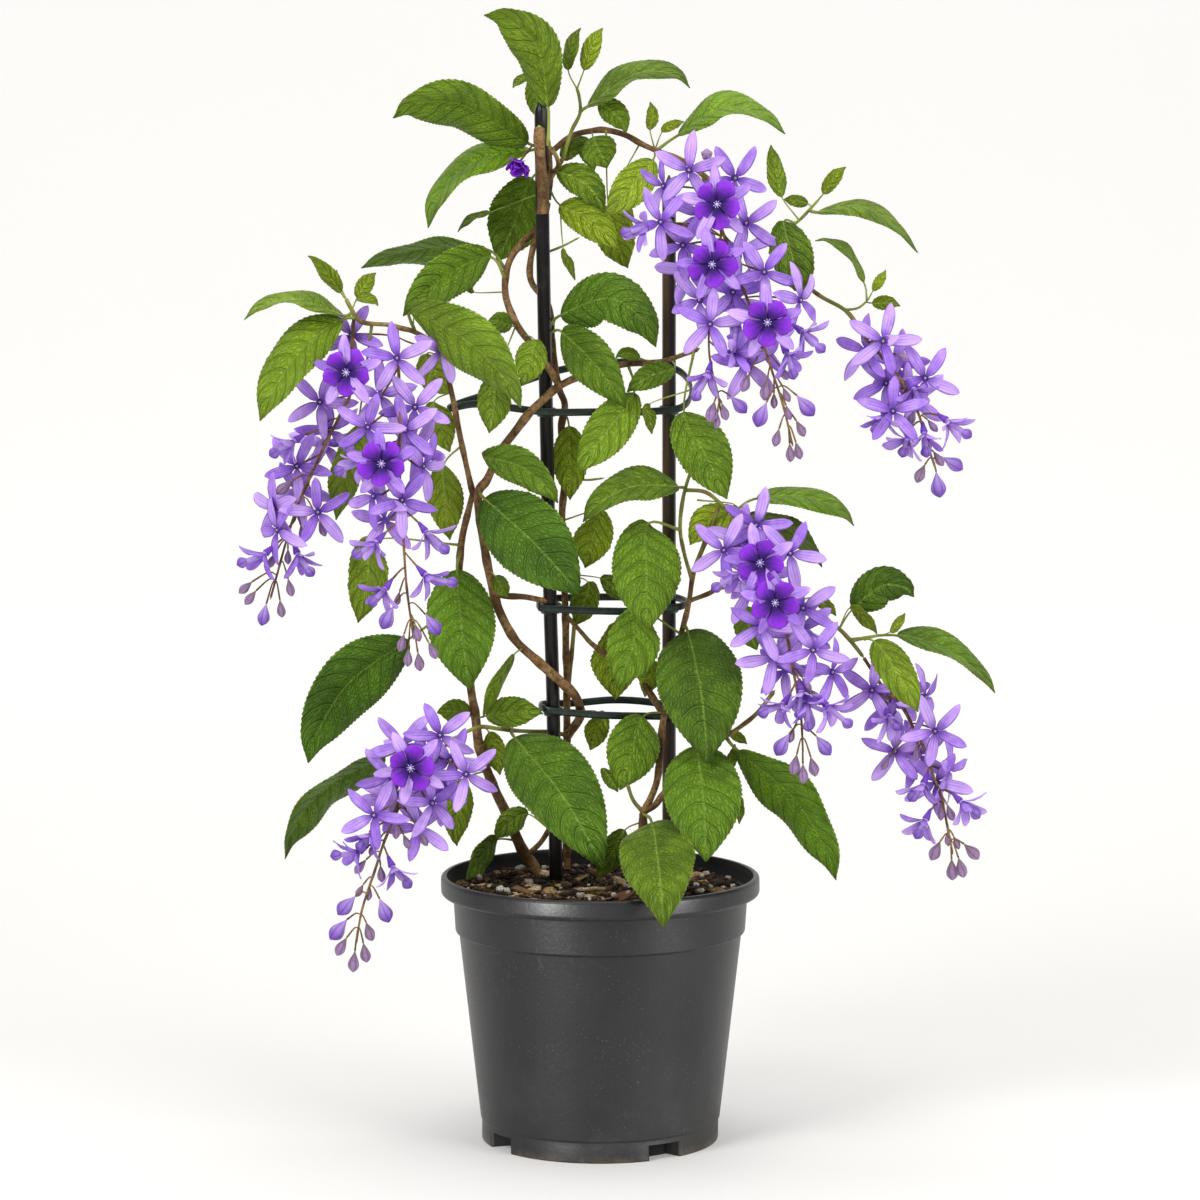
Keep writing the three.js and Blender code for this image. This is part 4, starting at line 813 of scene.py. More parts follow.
            ((655, 150, 26), (662, 132, 24), (672, 126, 22), (684, 122, 22), 10, 0.8),
        ],
    },
    "climber_right": {
        "stems": [
            (2.9, 2.5, [(646, 890, -8), (645, 868, -9), (643, 840, -11), (643, 810, -12)], True),
            (2.3, 1.3, [(643, 814, -12), (650, 800, -10), (657, 780, -4), (660, 755, 4), (663, 720, 11),
                        (672, 680, 12), (680, 640, 13), (688, 607, 13), (693, 575, 12), (700, 555, 10),
                        (708, 535, 8), (719, 506, 1)]),
            (1.4, 1.1, [(643, 812, -12), (633, 800, -12), (627, 783, -12)]),
            (2.1, 1.2, [(643, 812, -12), (655, 805, -14), (665, 792, -14), (680, 785, -14), (700, 757, -16),
                        (718, 742, -18), (740, 727, -20), (758, 712, -20), (775, 690, -20)]),
            (1.3, 2.3, [(566, 615, 41), (583, 634, 41), (592, 644, 39), (610, 657, 34), (635, 671, 26),
                        (646, 687, 18), (662, 712, 11)]),
            (1.3, 1, [(692, 580, 12), (684, 552, 10), (680, 525, 8), (685, 490, 6), (697, 455, 4)]),
            (1.3, 1.1, [(684, 490, 6), (705, 492, 3), (720, 503, 0), (738, 519, -7)]),
        ],
        "leaves": [
            ((643, 814, -12), (652, 823, -34), (659, 872, -84), (663, 928, -112), 70, 0.3),
            ((702, 755, -16), (698, 750, -22), (703, 800, -44), (706, 862, -60), 73, 0.1),
            ((683, 628, 13), (688, 632, 6), (700, 690, -24), (706, 763, -40), 80, 0.1),
            ((726, 737, -18), (738, 751, -20), (792, 800, -24), (836, 880, -30), 45, 0.05),
            ((662, 712, 11), (643, 717, 4), (632, 752, -6), (620, 790, -10), 50, 0.15),
            ((641, 822, -12), (625, 830, -14), (612, 853, -15), (597, 879, -15), 25, 0.2),
            ((681, 530, 8), (648, 524, 0), (647, 575, -14), (649, 630, -18), 65, 0.15),
            ((681, 634, 13), (643, 613, 4), (632, 648, -6), (617, 687, -10), 50, 0.15),
            ((686, 489, 6), (678, 487, 0), (632, 490, -10), (583, 522, -14), 32, 0.25),
            ((600, 648, 37), (612, 624, 40), (615, 664, 42), (615, 700, 42), 48, 0.7),
            ((733, 513, -3), (757, 498, -10), (808, 500, -16), (854, 526, -20), 22, 0.15),
            ((728, 510, -2), (748, 514, 2), (786, 530, 6), (822, 567, 8), 22, 0.25),
            ((690, 474, 5), (696, 473, 5), (706, 478, 5), (718, 487, 4), 12, 0.6),
            ((627, 783, -12), (604, 768, -10), (610, 778, -10), (618, 792, -10), 14, 0.3),
            ((702, 756, -16), (735, 795, -14), (738, 808, -14), (739, 824, -14), 10, 0.3),
            ((718, 742, -18), (728, 733, -16), (736, 736, -14), (747, 744, -12), 10, 0.6),
            ((672, 672, 12), (656, 662, 16), (650, 678, 18), (645, 697, 18), 20, 0.65),
            ((697, 500, 3), (735, 505, 6), (712, 520, 8), (690, 545, 10), 34, 0.8),
            ((700, 752, -17), (712, 750, -12), (724, 760, -10), (735, 744, -8), 16, 0.7),
        ],
    },
    "shoot_right": {
        "stems": [
            (1.5, 1.2, [(689, 601, 12.8), (708, 594, 13), (720, 588, 12), (745, 585, 10), (780, 590, 4),
                        (815, 612, -4), (838, 628, -9), (850, 640, -12), (864, 658, -15)]),
        ],
        "leaves": [
            ((745, 585, 10), (746, 606, 12), (750, 628, 14), (757, 650, 14), 30, 0.35),
            ((839, 629, -9), (853, 609, -8), (882, 589, -12), (914, 597, -18), 38, 0.1),
            ((850, 640, -12), (897, 635, -12), (946, 652, -16), (995, 693, -20), 22, 0.15),
            ((851, 641, -12), (874, 641, -32), (896, 672, -46), (918, 712, -50), 34, 0.5),
            ((839, 629, -9), (850, 608, -10), (864, 618, -14), (877, 634, -16), 12, 0.7),
            ((864, 640, -14), (890, 632, -14), (898, 623, -14), (905, 613, -14), 9, 0.7),
            ((800, 600, 0), (812, 598, -2), (824, 604, -3), (836, 616, -4), 12, 0.6),
        ],
    },
    "shoot_left": {
        "stems": [
            (1.4, 1.1, [(567, 735, 43.4), (548, 732, 41), (520, 731, 36), (500, 729, 27), (480, 727, 14),
                        (462, 734, 2), (456, 739, -4)]),
        ],
        "leaves": [
            ((512, 730, 33), (515, 738, 22), (558, 792, -14), (603, 870, -34), 72, 0.05),
            ((458, 737, -2), (385, 757, 12), (326, 792, 4), (285, 859, -4), 28, 0.05),
        ],
    },
}
leaf_count = sum(len(growth["leaves"]) for growth in LEAFY.values())
print(leaf_count, "leaves on", len(LEAFY), "leafy stems")

# %% [markdown]
# ## The shape of a leaf
# The blade is a flat ring carried along its midrib. The ring is widest before the middle and narrows to a
# drawn-out tip. The margin steps out and in as forward-pointing teeth. The name sandpaper vine comes from
# the rough blade, and its look comes from the veins: they are sunk, and the skin between them is puffed up
# like a quilt. So each blade is raised between side veins that sweep toward the tip. A leaf seen narrower
# than it grows is turned edge on.

# %% Blades and stalks
# The midrib: steps along it, where its hook starts, and how much of the bow the hook and the middle keep.
MIDRIB_STEPS = 240
HOOK_AT = 0.86
HOOK_BOW = 0.8
MIDDLE_BOW = 0.2
# The blade: least width for its length, how far it may turn edge on, and how its width runs to the tip.
WIDTH_SHARE = 0.44
SPREAD = 1.08
MOST_TURN = np.radians(68)
BLADE_THICK = 0.45 * MM
LEAST_HALF = 0.35 * MM
BLADE_COLUMNS = 16
SKEW = 0.86
FULLNESS = 0.62
DRAWN_OUT = 0.7
DRAWN_POWER = 7
# How much of a bend's radius the blade may fill on its inside, and how fast it narrows toward that place.
BEND_ROOM = 0.75
EASE = 1.0
# The teeth: their length, and the shares of the blade between which they stand.
TOOTH = 3.1 * MM
TEETH_FROM = 0.04
TEETH_TO = 0.97
# The veins: the gap between two, the fewest and the most, how they sweep, and how far the quilt rises.
VEIN_GAP = 10.5 * MM
VEINS = (5, 9)
VEIN_SWEEP = 0.7
SWEEP_POWER = 2.4
QUILT = 0.022
# The stalk runs on under the blade as a ridge, to this share of it.
STALK_STEPS = 26
STALK_SIDES = 7
RIDGE_END = 0.8


def flat_ring(over):
    """A flat ring: the place across goes from 1 to -1 over the upper face and back under it. The side is 1
    on the upper face, -1 on the lower one and 0 on the two edges."""
    face = np.ones(len(over) - 2)
    return np.r_[over, -over[1:-1]], np.r_[0, face, 0, -face]


def midrib(root, base, middle, tip):
    """The stalk and the midrib as one curve. It keeps its bow up to a shoulder, then hooks over to the
    tip."""
    bow = middle - (base + tip) / 2
    shoulder = base + (tip - base) * HOOK_AT + bow * HOOK_BOW
    return curve([root, base, middle + bow * MIDDLE_BOW, shoulder, tip], MIDRIB_STEPS)


def width_in_bends(along, cross, half, s, blade):
    """The share of its width that each half of the blade keeps. On the inside of a sharp bend the blade
    stays within a part of the bend's radius, so that it doesn't fold over, and narrows gently toward that
    place."""
    hollow = np.einsum("ij,ij->i", np.gradient(along, axis=0), cross)[:, None] * len(s) / blade
    room = np.clip(BEND_ROOM / np.maximum(np.abs(hollow), 1) / half, 0, 1)
    kept = [np.where(way * hollow > 0, room, 1) for way in (1, -1)]
    return [(share.T + EASE * np.abs(s - s.T)).min(1, keepdims=True) for share in kept]


def leaf_stalk(stalks, whole, stalk, blade, s, facing, tone, young):
    """A stalk that thins along the midrib. Past the base it dips under the blade and shows as a ridge
    there."""
    length = stalk + blade
    end = stalk + RIDGE_END * blade
    reach = np.linspace(0, end / length, STALK_STEPS)
    ridge = read_along(reach, np.linspace(0, 1, MIDRIB_STEPS), whole)
    under = np.interp(reach * length, [stalk * 0.6, stalk + 0.1 * blade], [0, 1])[:, None]
    own = read_along(reach * length - stalk, s[:, 0] * blade, facing)
    thick = np.interp(reach * length / end, [0, 0.1, 1], [1.25, 0.95, 0.25]) * MM
    thick = thick * np.clip(blade / (70 * MM), 0.55, 1.05)
    path = ridge - own * under * (thick[:, None] * 0.75)
    stalks.loft(rings_round(path, thick[:, None], STALK_SIDES), young=0.75 + 0.25 * young, tone=tone)


def leaf(blades, stalks, entry):
    """Half width = full / 2 sin(pi s^0.86)^0.62 (1 - 0.7 s^7). Vein phase = n (s + 0.05) - |t| - 0.7
    |t|^2.4 of the share s along and t across. Each half of the blade arches as about 0.37 |t| - 0.28 t^2
    times the half width, with a slow wave along the margin and the quilt on top."""
    *places, seen_width, young = entry
    seed = places[1][0] + places[1][1]
    draw = chance(seed + np.arange(12) * 3.7)
    root, base, middle, tip = seen(places)
    whole = midrib(root, base, middle, tip)
    length = length_of(whole)
    stalk = np.linalg.norm(base - root)
    blade = length - stalk
    seen_across = seen_width * PIXEL * SPREAD
    width = max(seen_across, blade * WIDTH_SHARE)
    turn = min(np.arccos(seen_across / width), MOST_TURN) * (1 if chance(seed) < 0.5 else -1)
    teeth = max(7, round(blade / TOOTH))
    s = np.linspace(0, 1, 3 * teeth + 1)[:, None]
    spine = read_along((stalk + s[:, 0] * blade) / length, np.linspace(0, 1, MIDRIB_STEPS), whole)
    along = unit(np.gradient(spine, axis=0))
    facing = unit(VIEWER - along * (along @ VIEWER)[:, None])
    facing = facing * np.cos(turn) + np.cross(along, facing) * np.sin(turn)
    cross = np.cross(along, facing)
    t, side = flat_ring(np.sin(np.linspace(1, -1, BLADE_COLUMNS + 1) * np.pi / 2))
    far = np.abs(t)
    half = width / 2 * np.maximum(np.sin(np.pi * s**SKEW), 0) ** FULLNESS * (1 - DRAWN_OUT * s**DRAWN_POWER)
    half = np.maximum(half, LEAST_HALF)
    kept = np.where(t > 0, *width_in_bends(along, cross, half, s, blade))
    toothed = (s > TEETH_FROM) * (s < TEETH_TO)
    saw = (s * teeth % 1 - 0.45) * np.minimum(0.05 * half + 0.4 * MM, 1.2 * MM) * toothed
    veins = np.clip(round(blade / VEIN_GAP), *VEINS)
    phase = veins * (s + 0.05) - far - VEIN_SWEEP * far**SWEEP_POWER + 0.15 * np.sign(t)
    puff = 1 - np.abs(phase % 1 * 2 - 1) ** 2.4
    quilt = QUILT * width * puff * np.minimum(far * 5, 1) * (1 - far**4) * np.sin(np.pi * s**0.8)
    arch = half * ((0.30 + 0.14 * draw[1]) * far - (0.2 + 0.16 * draw[2]) * t**2)
    wave = half * 0.1 * far**2 * np.sin(s * (7 + 5 * draw[3]) + 6 * draw[4] + 2 * np.sign(t))
    sideways = half * t * kept + saw * np.sign(t) * far**12
    lift = arch + wave + quilt + side * BLADE_THICK / 2
    rings = spine[:, None] + cross[:, None] * sideways[..., None] + facing[:, None] * lift[..., None]
    blades.loft(rings, phase=phase, across=t, ribs=half * t / MM, share=s, young=young, under=side < 0,
                tone=draw[5])
    leaf_stalk(stalks, whole, stalk, blade, s, facing, draw[6], young)


# %% [markdown]
# ## Woody stems
# The old stems are brown and thick as a pencil, and the young ones thin and olive green. A stem is a loft
# of round rings along a smooth curve. It swells a little every 25 mm, as at old leaf joints, and it is
# never quite round.

# %% Stems
STEM_STEP = 2.2 * MM
SINK = 20 * MM
JOINT_GAP = 25 * MM
ROUGH_STEPS = 40
STEM_SIDES = 12


def stem(surface, start, end, path, rooted=False, young=None, seed=0):
    """Radius in mm from start to end, times 1 + 0.16 sin^8 of a wave along the stem + 0.05 of two waves
    round it. A rooted stem goes on straight down into the mix. Where young isn't given, the thin parts are
    the young ones."""
    places = seen(path)
    if rooted:
        places = np.vstack([places[:1] * [1, 1, 0] + [0, 0, SOIL_LEVEL - SINK], places])
    length = length_of(curve(places, ROUGH_STEPS))
    count = max(8, round(length / STEM_STEP))
    spine = curve(places, count)
    gone = np.linspace(0, 1, count)[:, None]
    angle = np.linspace(0, 2 * np.pi, STEM_SIDES, endpoint=False)
    node = np.sin(np.pi * gone * count * STEM_STEP / JOINT_GAP + seed) ** 8
    grain = np.sin(3 * angle + gone * count * 0.35 + seed) + np.sin(2 * angle - gone * count * 0.21)
    radius = (start + (end - start) * gone) * MM * (1 + 0.16 * node + 0.05 * grain)
    radius = radius * rounded_end(count, 0.8 * end * MM / max(length, 0.01))[:, None]
    green = np.clip((2.1 - radius / MM) / 1.3, 0, 1) if young is None else young
    surface.loft(rings_round(spine, radius, STEM_SIDES), young=green, tone=chance(seed), node=node)


# %% [markdown]
# ## The finish of the leaves
# The skin of the leaf is a quilt of small cushions. Sunken side veins bound them on two sides, and a net of
# finer veins on the others. The material builds that quilt from values each blade carries: the phase
# between the side veins, and the distance from the midrib in mm. So the quilt follows the blade wherever it
# bends. Other values say how young the leaf is, and which face a point is on.

# %% Leaf finish
def leaf_finish():
    """A cushion's height falls to 0 at the side veins, where the phase is whole, and partly at the edges of
    cells in the blade's own coordinates: 3.2 of them between two side veins, and one every 2.4 mm along a
    vein."""
    made, shader, start = new_finish("leaf_blade")
    phase, across, ribs = start.value("phase"), start.value("across"), start.value("ribs")
    young, under, tone, share = (start.value(name) for name in ("young", "under", "tone", "share"))
    cells = start.grains(1.0, "DISTANCE_TO_EDGE", start.vector(phase * 3.2, ribs / 2.4, tone * 40))
    to_vein = abs(phase % 1 * 2 - 1)
    cushion = to_vein.step(1.0, 0.72) * (cells.step(0.0, 0.22) * 0.45 + 0.55)
    grit = start.noise(1500, 0)
    side_vein = to_vein.step(0.9, 0.99) * abs(across).step(1.05, 0.6)
    midrib = abs(ribs).step(0.85, 0.4) * share.step(1.05, 0.75)
    cloud = start.noise(38, 3)
    dark = young.mix(paint("2a4a06"), paint("78900a"))
    lit = young.mix(paint("6d9a1e"), paint("c0d836"))
    # Painted light: besides mottling and each leaf's own tone, the top of each cushion gets a little more of
    # the lighter green.
    colour = (cloud.step(0.36, 0.64) * 0.3 + tone * 0.6 + cushion * 0.1).mix(dark, lit)
    # Painted shade in the creases round the cushions.
    colour = (cushion.step(0.5, 0.0) * 0.34).mix(colour, young.mix(paint("263d04"), paint("526904")))
    colour = (abs(across).step(0.94, 1.0) * 0.4).mix(colour, paint("8fae3a"))
    colour = (side_vein * 0.3).mix(colour, young.mix(paint("8fb040"), paint("bccd4c")))
    colour = (midrib * 0.5).mix(colour, young.mix(paint("8fae45"), paint("b8cc52")))
    colour = (under * 0.4).mix(colour, young.mix(paint("7c9c52"), paint("a8bd5a")))
    height = cushion + grit * 0.25
    roughness = 0.46 + grit * 0.12 + under * 0.12 - cushion * 0.06
    apply_finish(start, shader, colour, roughness, height, 0.0019, Specular_IOR_Level=0.28)
    return made


# %% [markdown]
# ## The finish of the stems
# Old bark is brown in patches, with a dark grain and pale corky specks. Where the stem is young the bark
# gives way to a smoother green, and the joints stay brown.

# %% Bark finish
def bark_finish():
    """Old bark and green skin, each with its own patches and grain, mixed by how young the stem is
    there."""
    made, shader, start = new_finish("vine_bark")
    young, tone, node = start.value("young"), start.value("tone"), start.value("node")
    grain = start.noise(420, 3, 0.7)
    patches = start.noise(85, 3, 0.6)
    corky = start.grains(520).step(0.3, 0.12) * patches.step(0.45, 0.6)
    old = patches.step(0.35, 0.65).mix(paint("5a3f1f"), paint("967448"))
    old = (grain.step(0.55, 0.35) * 0.7).mix(old, paint("38230f"))
    old = (corky * 0.5).mix(old, paint("b59c80"))
    green = patches.step(0.35, 0.65).mix(paint("6d7a2a"), paint("93a444"))
    green = (grain.step(0.55, 0.7) * 0.4 + node * 0.4).mix(green, paint("8a6a44"))
    colour = young.step(0.3, 0.85).mix(old, green)
    roughness = 0.62 + grain * 0.2 - young * 0.2
    relief = grain * 0.8 + patches * 0.5
    apply_finish(start, shader, colour, roughness, relief, 0.0007, Specular_IOR_Level=0.35)
    return made


leaf_green = leaf_finish()
vine_bark = bark_finish()
for name, growth in LEAFY.items():
    stems, blades = Surface(), Surface()
    for k, (start_radius, end_radius, path, *rooted) in enumerate(growth["stems"]):
        stem(stems, start_radius, end_radius, path, rooted=bool(rooted), seed=k)
    for entry in growth["leaves"]:
        leaf(blades, stems, entry)
    piece(name + "_stems", stems, vine_bark, "leafy_stem", name)
    piece(name + "_leaves", blades, leaf_green, "leafy_stem", name)

# %% [markdown]
# ## The flower bunches
# A raceme is a thin drooping axis that opens from the top down: old calyx stars without their corolla at
# the top, fresh flowers with the violet corolla between them, half-open bells lower down and closed buds at
# the end. Each flower below is a column and a row of the picture. A star goes on with the angle of its
# first lobe, how far it is turned sideways in degrees, and how far behind the axis it is in mm. A bell's
# last two numbers are where its folded corolla shows, and a bud's is its radius in mm.

# %% The racemes
RACEMES = {
    "raceme_a": {
        "axis": [(397, 327, -21), (399, 380, -34), (400, 430, -38), (400, 500, -38), (403, 535, -38),
                 (407, 590, -38), (414, 640, -38)],
        "stars": [(397, 358, 23), (415, 407, 45), (368, 427, 4), (423, 466, 0, 50), (402, 500, 50),
                  (405, 430, 32, 5, 2), (374, 496, 53, -40, 4), (352, 335, 60, -20, 24),
                  (440, 350, 10, 40, 20), (380, 395, 20, 190, 26), (415, 450, 50, 160, 26),
                  (385, 520, 10, 200, 24)],
        "open": [(347, 372, 20), (382, 463, 19)],
        "bells": [(378, 541, 359, 553), (425, 531, 443, 548), (424, 574, 450, 582), (386, 588, 374, 600),
                  (366, 459, 341, 470)],
        "buds": [(388, 617, 4.4), (432, 624, 4.2), (402, 642), (417, 632), (408, 657), (419, 661, 3),
                 (432, 650), (398, 598, 2)],
    },
    "raceme_b": {
        "axis": [(354, 312.5, -28.2), (351, 370, -16), (350, 395, -12), (340, 415, -8), (318, 460, -4),
                 (300, 500, -4), (288, 535, -4), (277, 575, -4), (270, 600, -4)],
        "stars": [(320, 402, 67), (297, 466, 60), (318, 512, 24), (275, 508, 20, -45, 4),
                  (278, 530, 50, -50, -4), (330, 430, 30, 30, 14), (325, 445, 20, 170, 24),
                  (300, 490, 50, 200, 22)],
        "open": [],
        "bells": [(266, 553, 244, 562), (297, 553, 309, 570), (296, 440, 276, 452)],
        "buds": [(264, 614, 3.8), (281, 608), (251, 597), (246, 587), (290, 587), (285, 487, 3.4),
                 (272, 560, 2.4), (288, 556, 2.2), (302, 532, 2.2), (322, 528, 2.4)],
    },
    "raceme_c": {
        "axis": [(703, 176.4, 20), (712, 200, -14), (722, 230, -34), (738, 275, -42), (757, 325, -46),
                 (770, 365, -46), (783, 405, -46), (793, 447, -46)],
        "stars": [(689, 170, 12), (746, 223, 36), (661, 222, 48, -20), (683, 245, 55), (764, 272, 56),
                  (733, 292, 12), (710, 324, 10), (746, 364, 29), (735, 178, 51, 10, 10),
                  (664, 186, 10, -50, 16), (742, 250, 20, 20, 16), (700, 300, 60, -30, 14),
                  (800, 300, 30, 50, 8), (700, 215, 30, 180, 30), (735, 300, 50, 165, 26),
                  (690, 270, 10, 210, 26), (760, 345, 15, 190, 22)],
        "open": [(717, 204, 26), (712, 264, 30), (767, 322, 22)],
        "bells": [(801, 331, 819, 347), (709, 371, 697, 394), (649, 226, 628, 232), (786, 352, 792, 372),
                  (733, 352, 736, 330)],
        "buds": [(738, 404, 3.8), (712, 411, 3.6), (724, 411, 2.6), (717, 420, 2.2), (762, 414, 4.6),
                 (805, 405, 4.6), (766, 389, 3.6), (800, 428), (777, 437), (790, 452, 2.8), (798, 450, 2.6),
                 (746, 382, 3), (783, 372, 2.4), (786, 394, 2.2), (774, 400, 2.2), (788, 412, 2),
                 (707, 155, 3.4)],
        "branch": [(722, 230, -34), (712, 290, -40), (709, 350, -42), (718, 395, -44), (721, 414, -44)],
    },
    "raceme_d": {
        "axis": [(865, 338, -5), (885, 360, -8), (897, 375, -10), (908, 393, -10), (918, 412, -10),
                 (930, 452, -10), (936, 470, -10)],
        "stars": [(883, 341, 3), (925, 378, 48), (893, 411, 20), (866, 350, 20, -30, 6),
                  (886, 383, 60, 0, 10), (895, 365, 30, 170, 20), (915, 400, 0, 200, 18)],
        "open": [],
        "bells": [(946, 420, 965, 433), (884, 414, 877, 428), (908, 436, 904, 450), (924, 432, 926, 450),
                  (913, 388, 917, 398)],
        "buds": [(952, 463, 4.2), (938, 484, 4.6), (921, 473, 3.2), (938, 458, 2.6), (912, 416, 2.6),
                 (902, 356, 2), (896, 380, 2.2), (932, 425, 2.2)],
    },
    "raceme_e": {
        "axis": [(738, 519, -7), (755, 540, -20), (768, 575, -34), (779, 606, -43), (788, 640, -48),
                 (792, 665, -48), (797, 690, -48), (801, 715, -48), (803, 755, -48)],
        "stars": [(724, 550, 66), (756, 525, 0), (790, 553, 64), (803, 608, 37), (762, 626, 0),
                  (773, 657, 48), (813, 650, 50), (750, 590, 30, -30, 10), (832, 672, 20, 40, 8),
                  (800, 630, 40, 10, 16), (745, 540, 20, -10, 18), (760, 575, 30, 180, 26),
                  (790, 620, 0, 160, 26), (785, 670, 40, 200, 22)],
        "open": [(760, 562, 30), (775, 602, 24)],
        "bells": [(784, 703, 765, 712), (826, 705, 846, 722), (741, 572, 718, 586), (801, 690, 800, 712),
                  (805, 700, 808, 724)],
        "buds": [(783, 744, 4.4), (823, 745, 4), (795, 764, 3.4), (813, 766, 3.2), (803, 773, 3),
                 (806, 684, 2.4), (815, 695, 2.2), (792, 735, 2)],
    },
    "raceme_f": {
        "axis": [(864, 658, -15), (885, 690, -20), (900, 702, -20), (913, 727, -20), (925, 750, -20),
                 (935, 780, -20), (942, 800, -20), (953, 855, -20)],
        "stars": [(872, 690, 5), (895, 751, 17), (935, 731, 48), (948, 770, 10, 60), (925, 697, 40, 60),
                  (898, 695, 20, 20, 8), (936, 782, 60, 0, 6), (890, 705, 30, 180, 20),
                  (918, 755, 0, 160, 18)],
        "open": [],
        "bells": [(924, 783, 914, 795), (960, 801, 974, 813), (926, 819, 919, 832), (888, 714, 896, 724)],
        "buds": [(936, 850, 3.6), (971, 851, 3.6), (952, 869, 3.6), (961, 867, 3.4), (948, 838, 2.2),
                 (956, 842, 2), (950, 812, 2.6), (941, 812, 2.2), (883, 707, 2.6), (917, 752, 2.2),
                 (886, 763, 2)],
    },
    "raceme_g": {
        "axis": [(456, 739, -4), (440, 750, -22), (425, 765, -40), (405, 795, -48), (385, 840, -48),
                 (375, 870, -48), (362, 910, -48), (356, 945, -48)],
        "stars": [(440, 735, 38), (403, 745, 56), (466, 774, 41), (390, 776, 54), (432, 803, 28, 30),
                  (419, 827, 38), (374, 815, 62), (395, 795, 20, -20, 14), (450, 760, 60, 20, 16),
                  (415, 760, 30, 175, 28), (395, 800, 0, 200, 26), (440, 790, 50, 150, 24)],
        "open": [(411, 767, 42)],
        "bells": [(360, 851, 338, 855), (392, 866, 406, 882), (372, 833, 362, 845)],
        "buds": [(347, 905, 4.4), (384, 910, 4.4), (339, 929, 4.6), (342, 946, 3.2), (369, 931, 3.2),
                 (365, 952, 3.2), (354, 961, 3.4), (361, 866, 2.6), (381, 873, 2.6), (374, 848, 2.2),
                 (360, 890, 2), (369, 893, 2), (395, 805, 2.6), (396, 830, 2.4), (406, 841, 2.2),
                 (423, 838, 2.4)],
    },
}
star_count = sum(len(parts["stars"] + parts["open"]) for parts in RACEMES.values())
print(star_count, "stars in", len(RACEMES), "racemes")

# %% [markdown]
# ## The shape of a flower
# Both the calyx and the corolla are five lobes round a throat. A calyx lobe is a long strap with a channel
# along it, and a corolla lobe is broad and wavy. Both are the same flat loft with another width along it,
# set round the flower's axis and lifted off the flat. Every lobe gets its own small twist, length and bend,
# since a star with five equal arms looks stamped.

# %% Lobes, stars and bells
LOBE_ROWS = 13
LOBE_COLUMNS = 6
LOBE_THICK = 0.44 * MM
LIFT_VARIES = np.radians(11)
STRAP = {
    "base": 0.06, "half": 0.162, "fullest": 0.6, "tip": 1.9, "channel": 0.32, "ripple": 0.1, "bend": 0.16,
}
BROAD = {
    "base": 0.1, "half": 0.41, "fullest": 0.62, "tip": 2.4, "channel": -0.2, "ripple": 0.3, "bend": 0.18,
}


def axes(facing):
    """Two directions square to the way a flower faces: one level, and one upward."""
    level = unit(np.cross(UP, facing))
    return level, np.cross(facing, level)


def lobe(surface, centre, facing, angle, radius, lift, kind, seed, open_out=0.0):
    """From the centre out, at share s: distance r s cos(lift) and rise r (s sin(lift) - bend s^2.2
    cos(lift)). The half width is half r, times a rounded end beyond the fullest place, and in the middle
    never more than 0.62 of the distance. Opening out adds to the bend and to the distance."""
    draw = chance(seed * 1.7 + np.arange(6) * 5.3)
    level, upward = axes(facing)
    out = level * np.cos(angle) + upward * np.sin(angle)
    beside = np.cross(facing, out)
    s = np.linspace(kind["base"], 1, LOBE_ROWS)[:, None]
    reach = radius * (0.94 + 0.12 * draw[0])
    lift = lift + LIFT_VARIES * (draw[1] - 0.5) * 2
    bend = kind["bend"] * (0.3 + 1.2 * draw[2]) + open_out
    rise = reach * (s * np.sin(lift) - bend * s**2.2 * np.cos(lift))
    gone = reach * (s * np.cos(lift) + 0.35 * open_out * s**2)
    past = np.clip((s - kind["fullest"]) / (1 - kind["fullest"]), 0, 1)
    grown = 0.5 + 0.5 * np.sin(np.clip(s / kind["fullest"], 0, 1) * np.pi / 2)
    narrowed = (1 - past ** kind["tip"] * 0.985) ** 0.62
    half = np.minimum(kind["half"] * reach * grown * narrowed, 0.62 * reach * s)
    t, side = flat_ring(np.linspace(1, -1, LOBE_COLUMNS + 1))
    twist = (draw[3] - 0.5) * 1.1 * s
    sway = (draw[4] - 0.5) * 0.16 * reach * s**2
    across = half * t
    cup = half * (kind["channel"] * t**2 + kind["ripple"] * np.sin(9 * s + 6 * draw[5]) * t * np.abs(t))
    high = rise + cup * np.cos(twist) + across * np.sin(twist) + side * LOBE_THICK / 2
    wide = across * np.cos(twist) - cup * np.sin(twist) + sway
    rings = centre + out * gone[..., None] + beside * wide[..., None] + facing * high[..., None]
    surface.loft(rings, share=s, across=t, tone=draw[0])


def star(surface, centre, facing, roll, radius, lift, kind, seed, open_out=0.0):
    """Five lobes about a fifth of a turn apart, the first at an angle of roll degrees."""
    for k in range(5):
        angle = np.radians(roll + 72 * k) + 0.12 * (chance(seed + k * 9.1) - 0.5)
        lobe(surface, centre, facing, angle, radius, lift, kind, seed + 13 * k, open_out)


def turned(surface, centre, facing, section, folds=0.0, **values):
    """A section of (radius, height) pairs in mm turned about the way a flower faces, with five folds where
    wanted."""
    level, upward = axes(facing)
    section = np.array(section) * MM
    angle = np.linspace(0, 2 * np.pi, TURNED_SIDES, endpoint=False)[None, :, None]
    radius, height = section[:, :1, None], section[:, 1:, None]
    radius = radius * (1 + folds * np.cos(5 * angle + 40 * height / MM * 0.01))
    out = level * np.cos(angle) + upward * np.sin(angle)
    surface.loft(centre + radius * out + facing * height, **values)


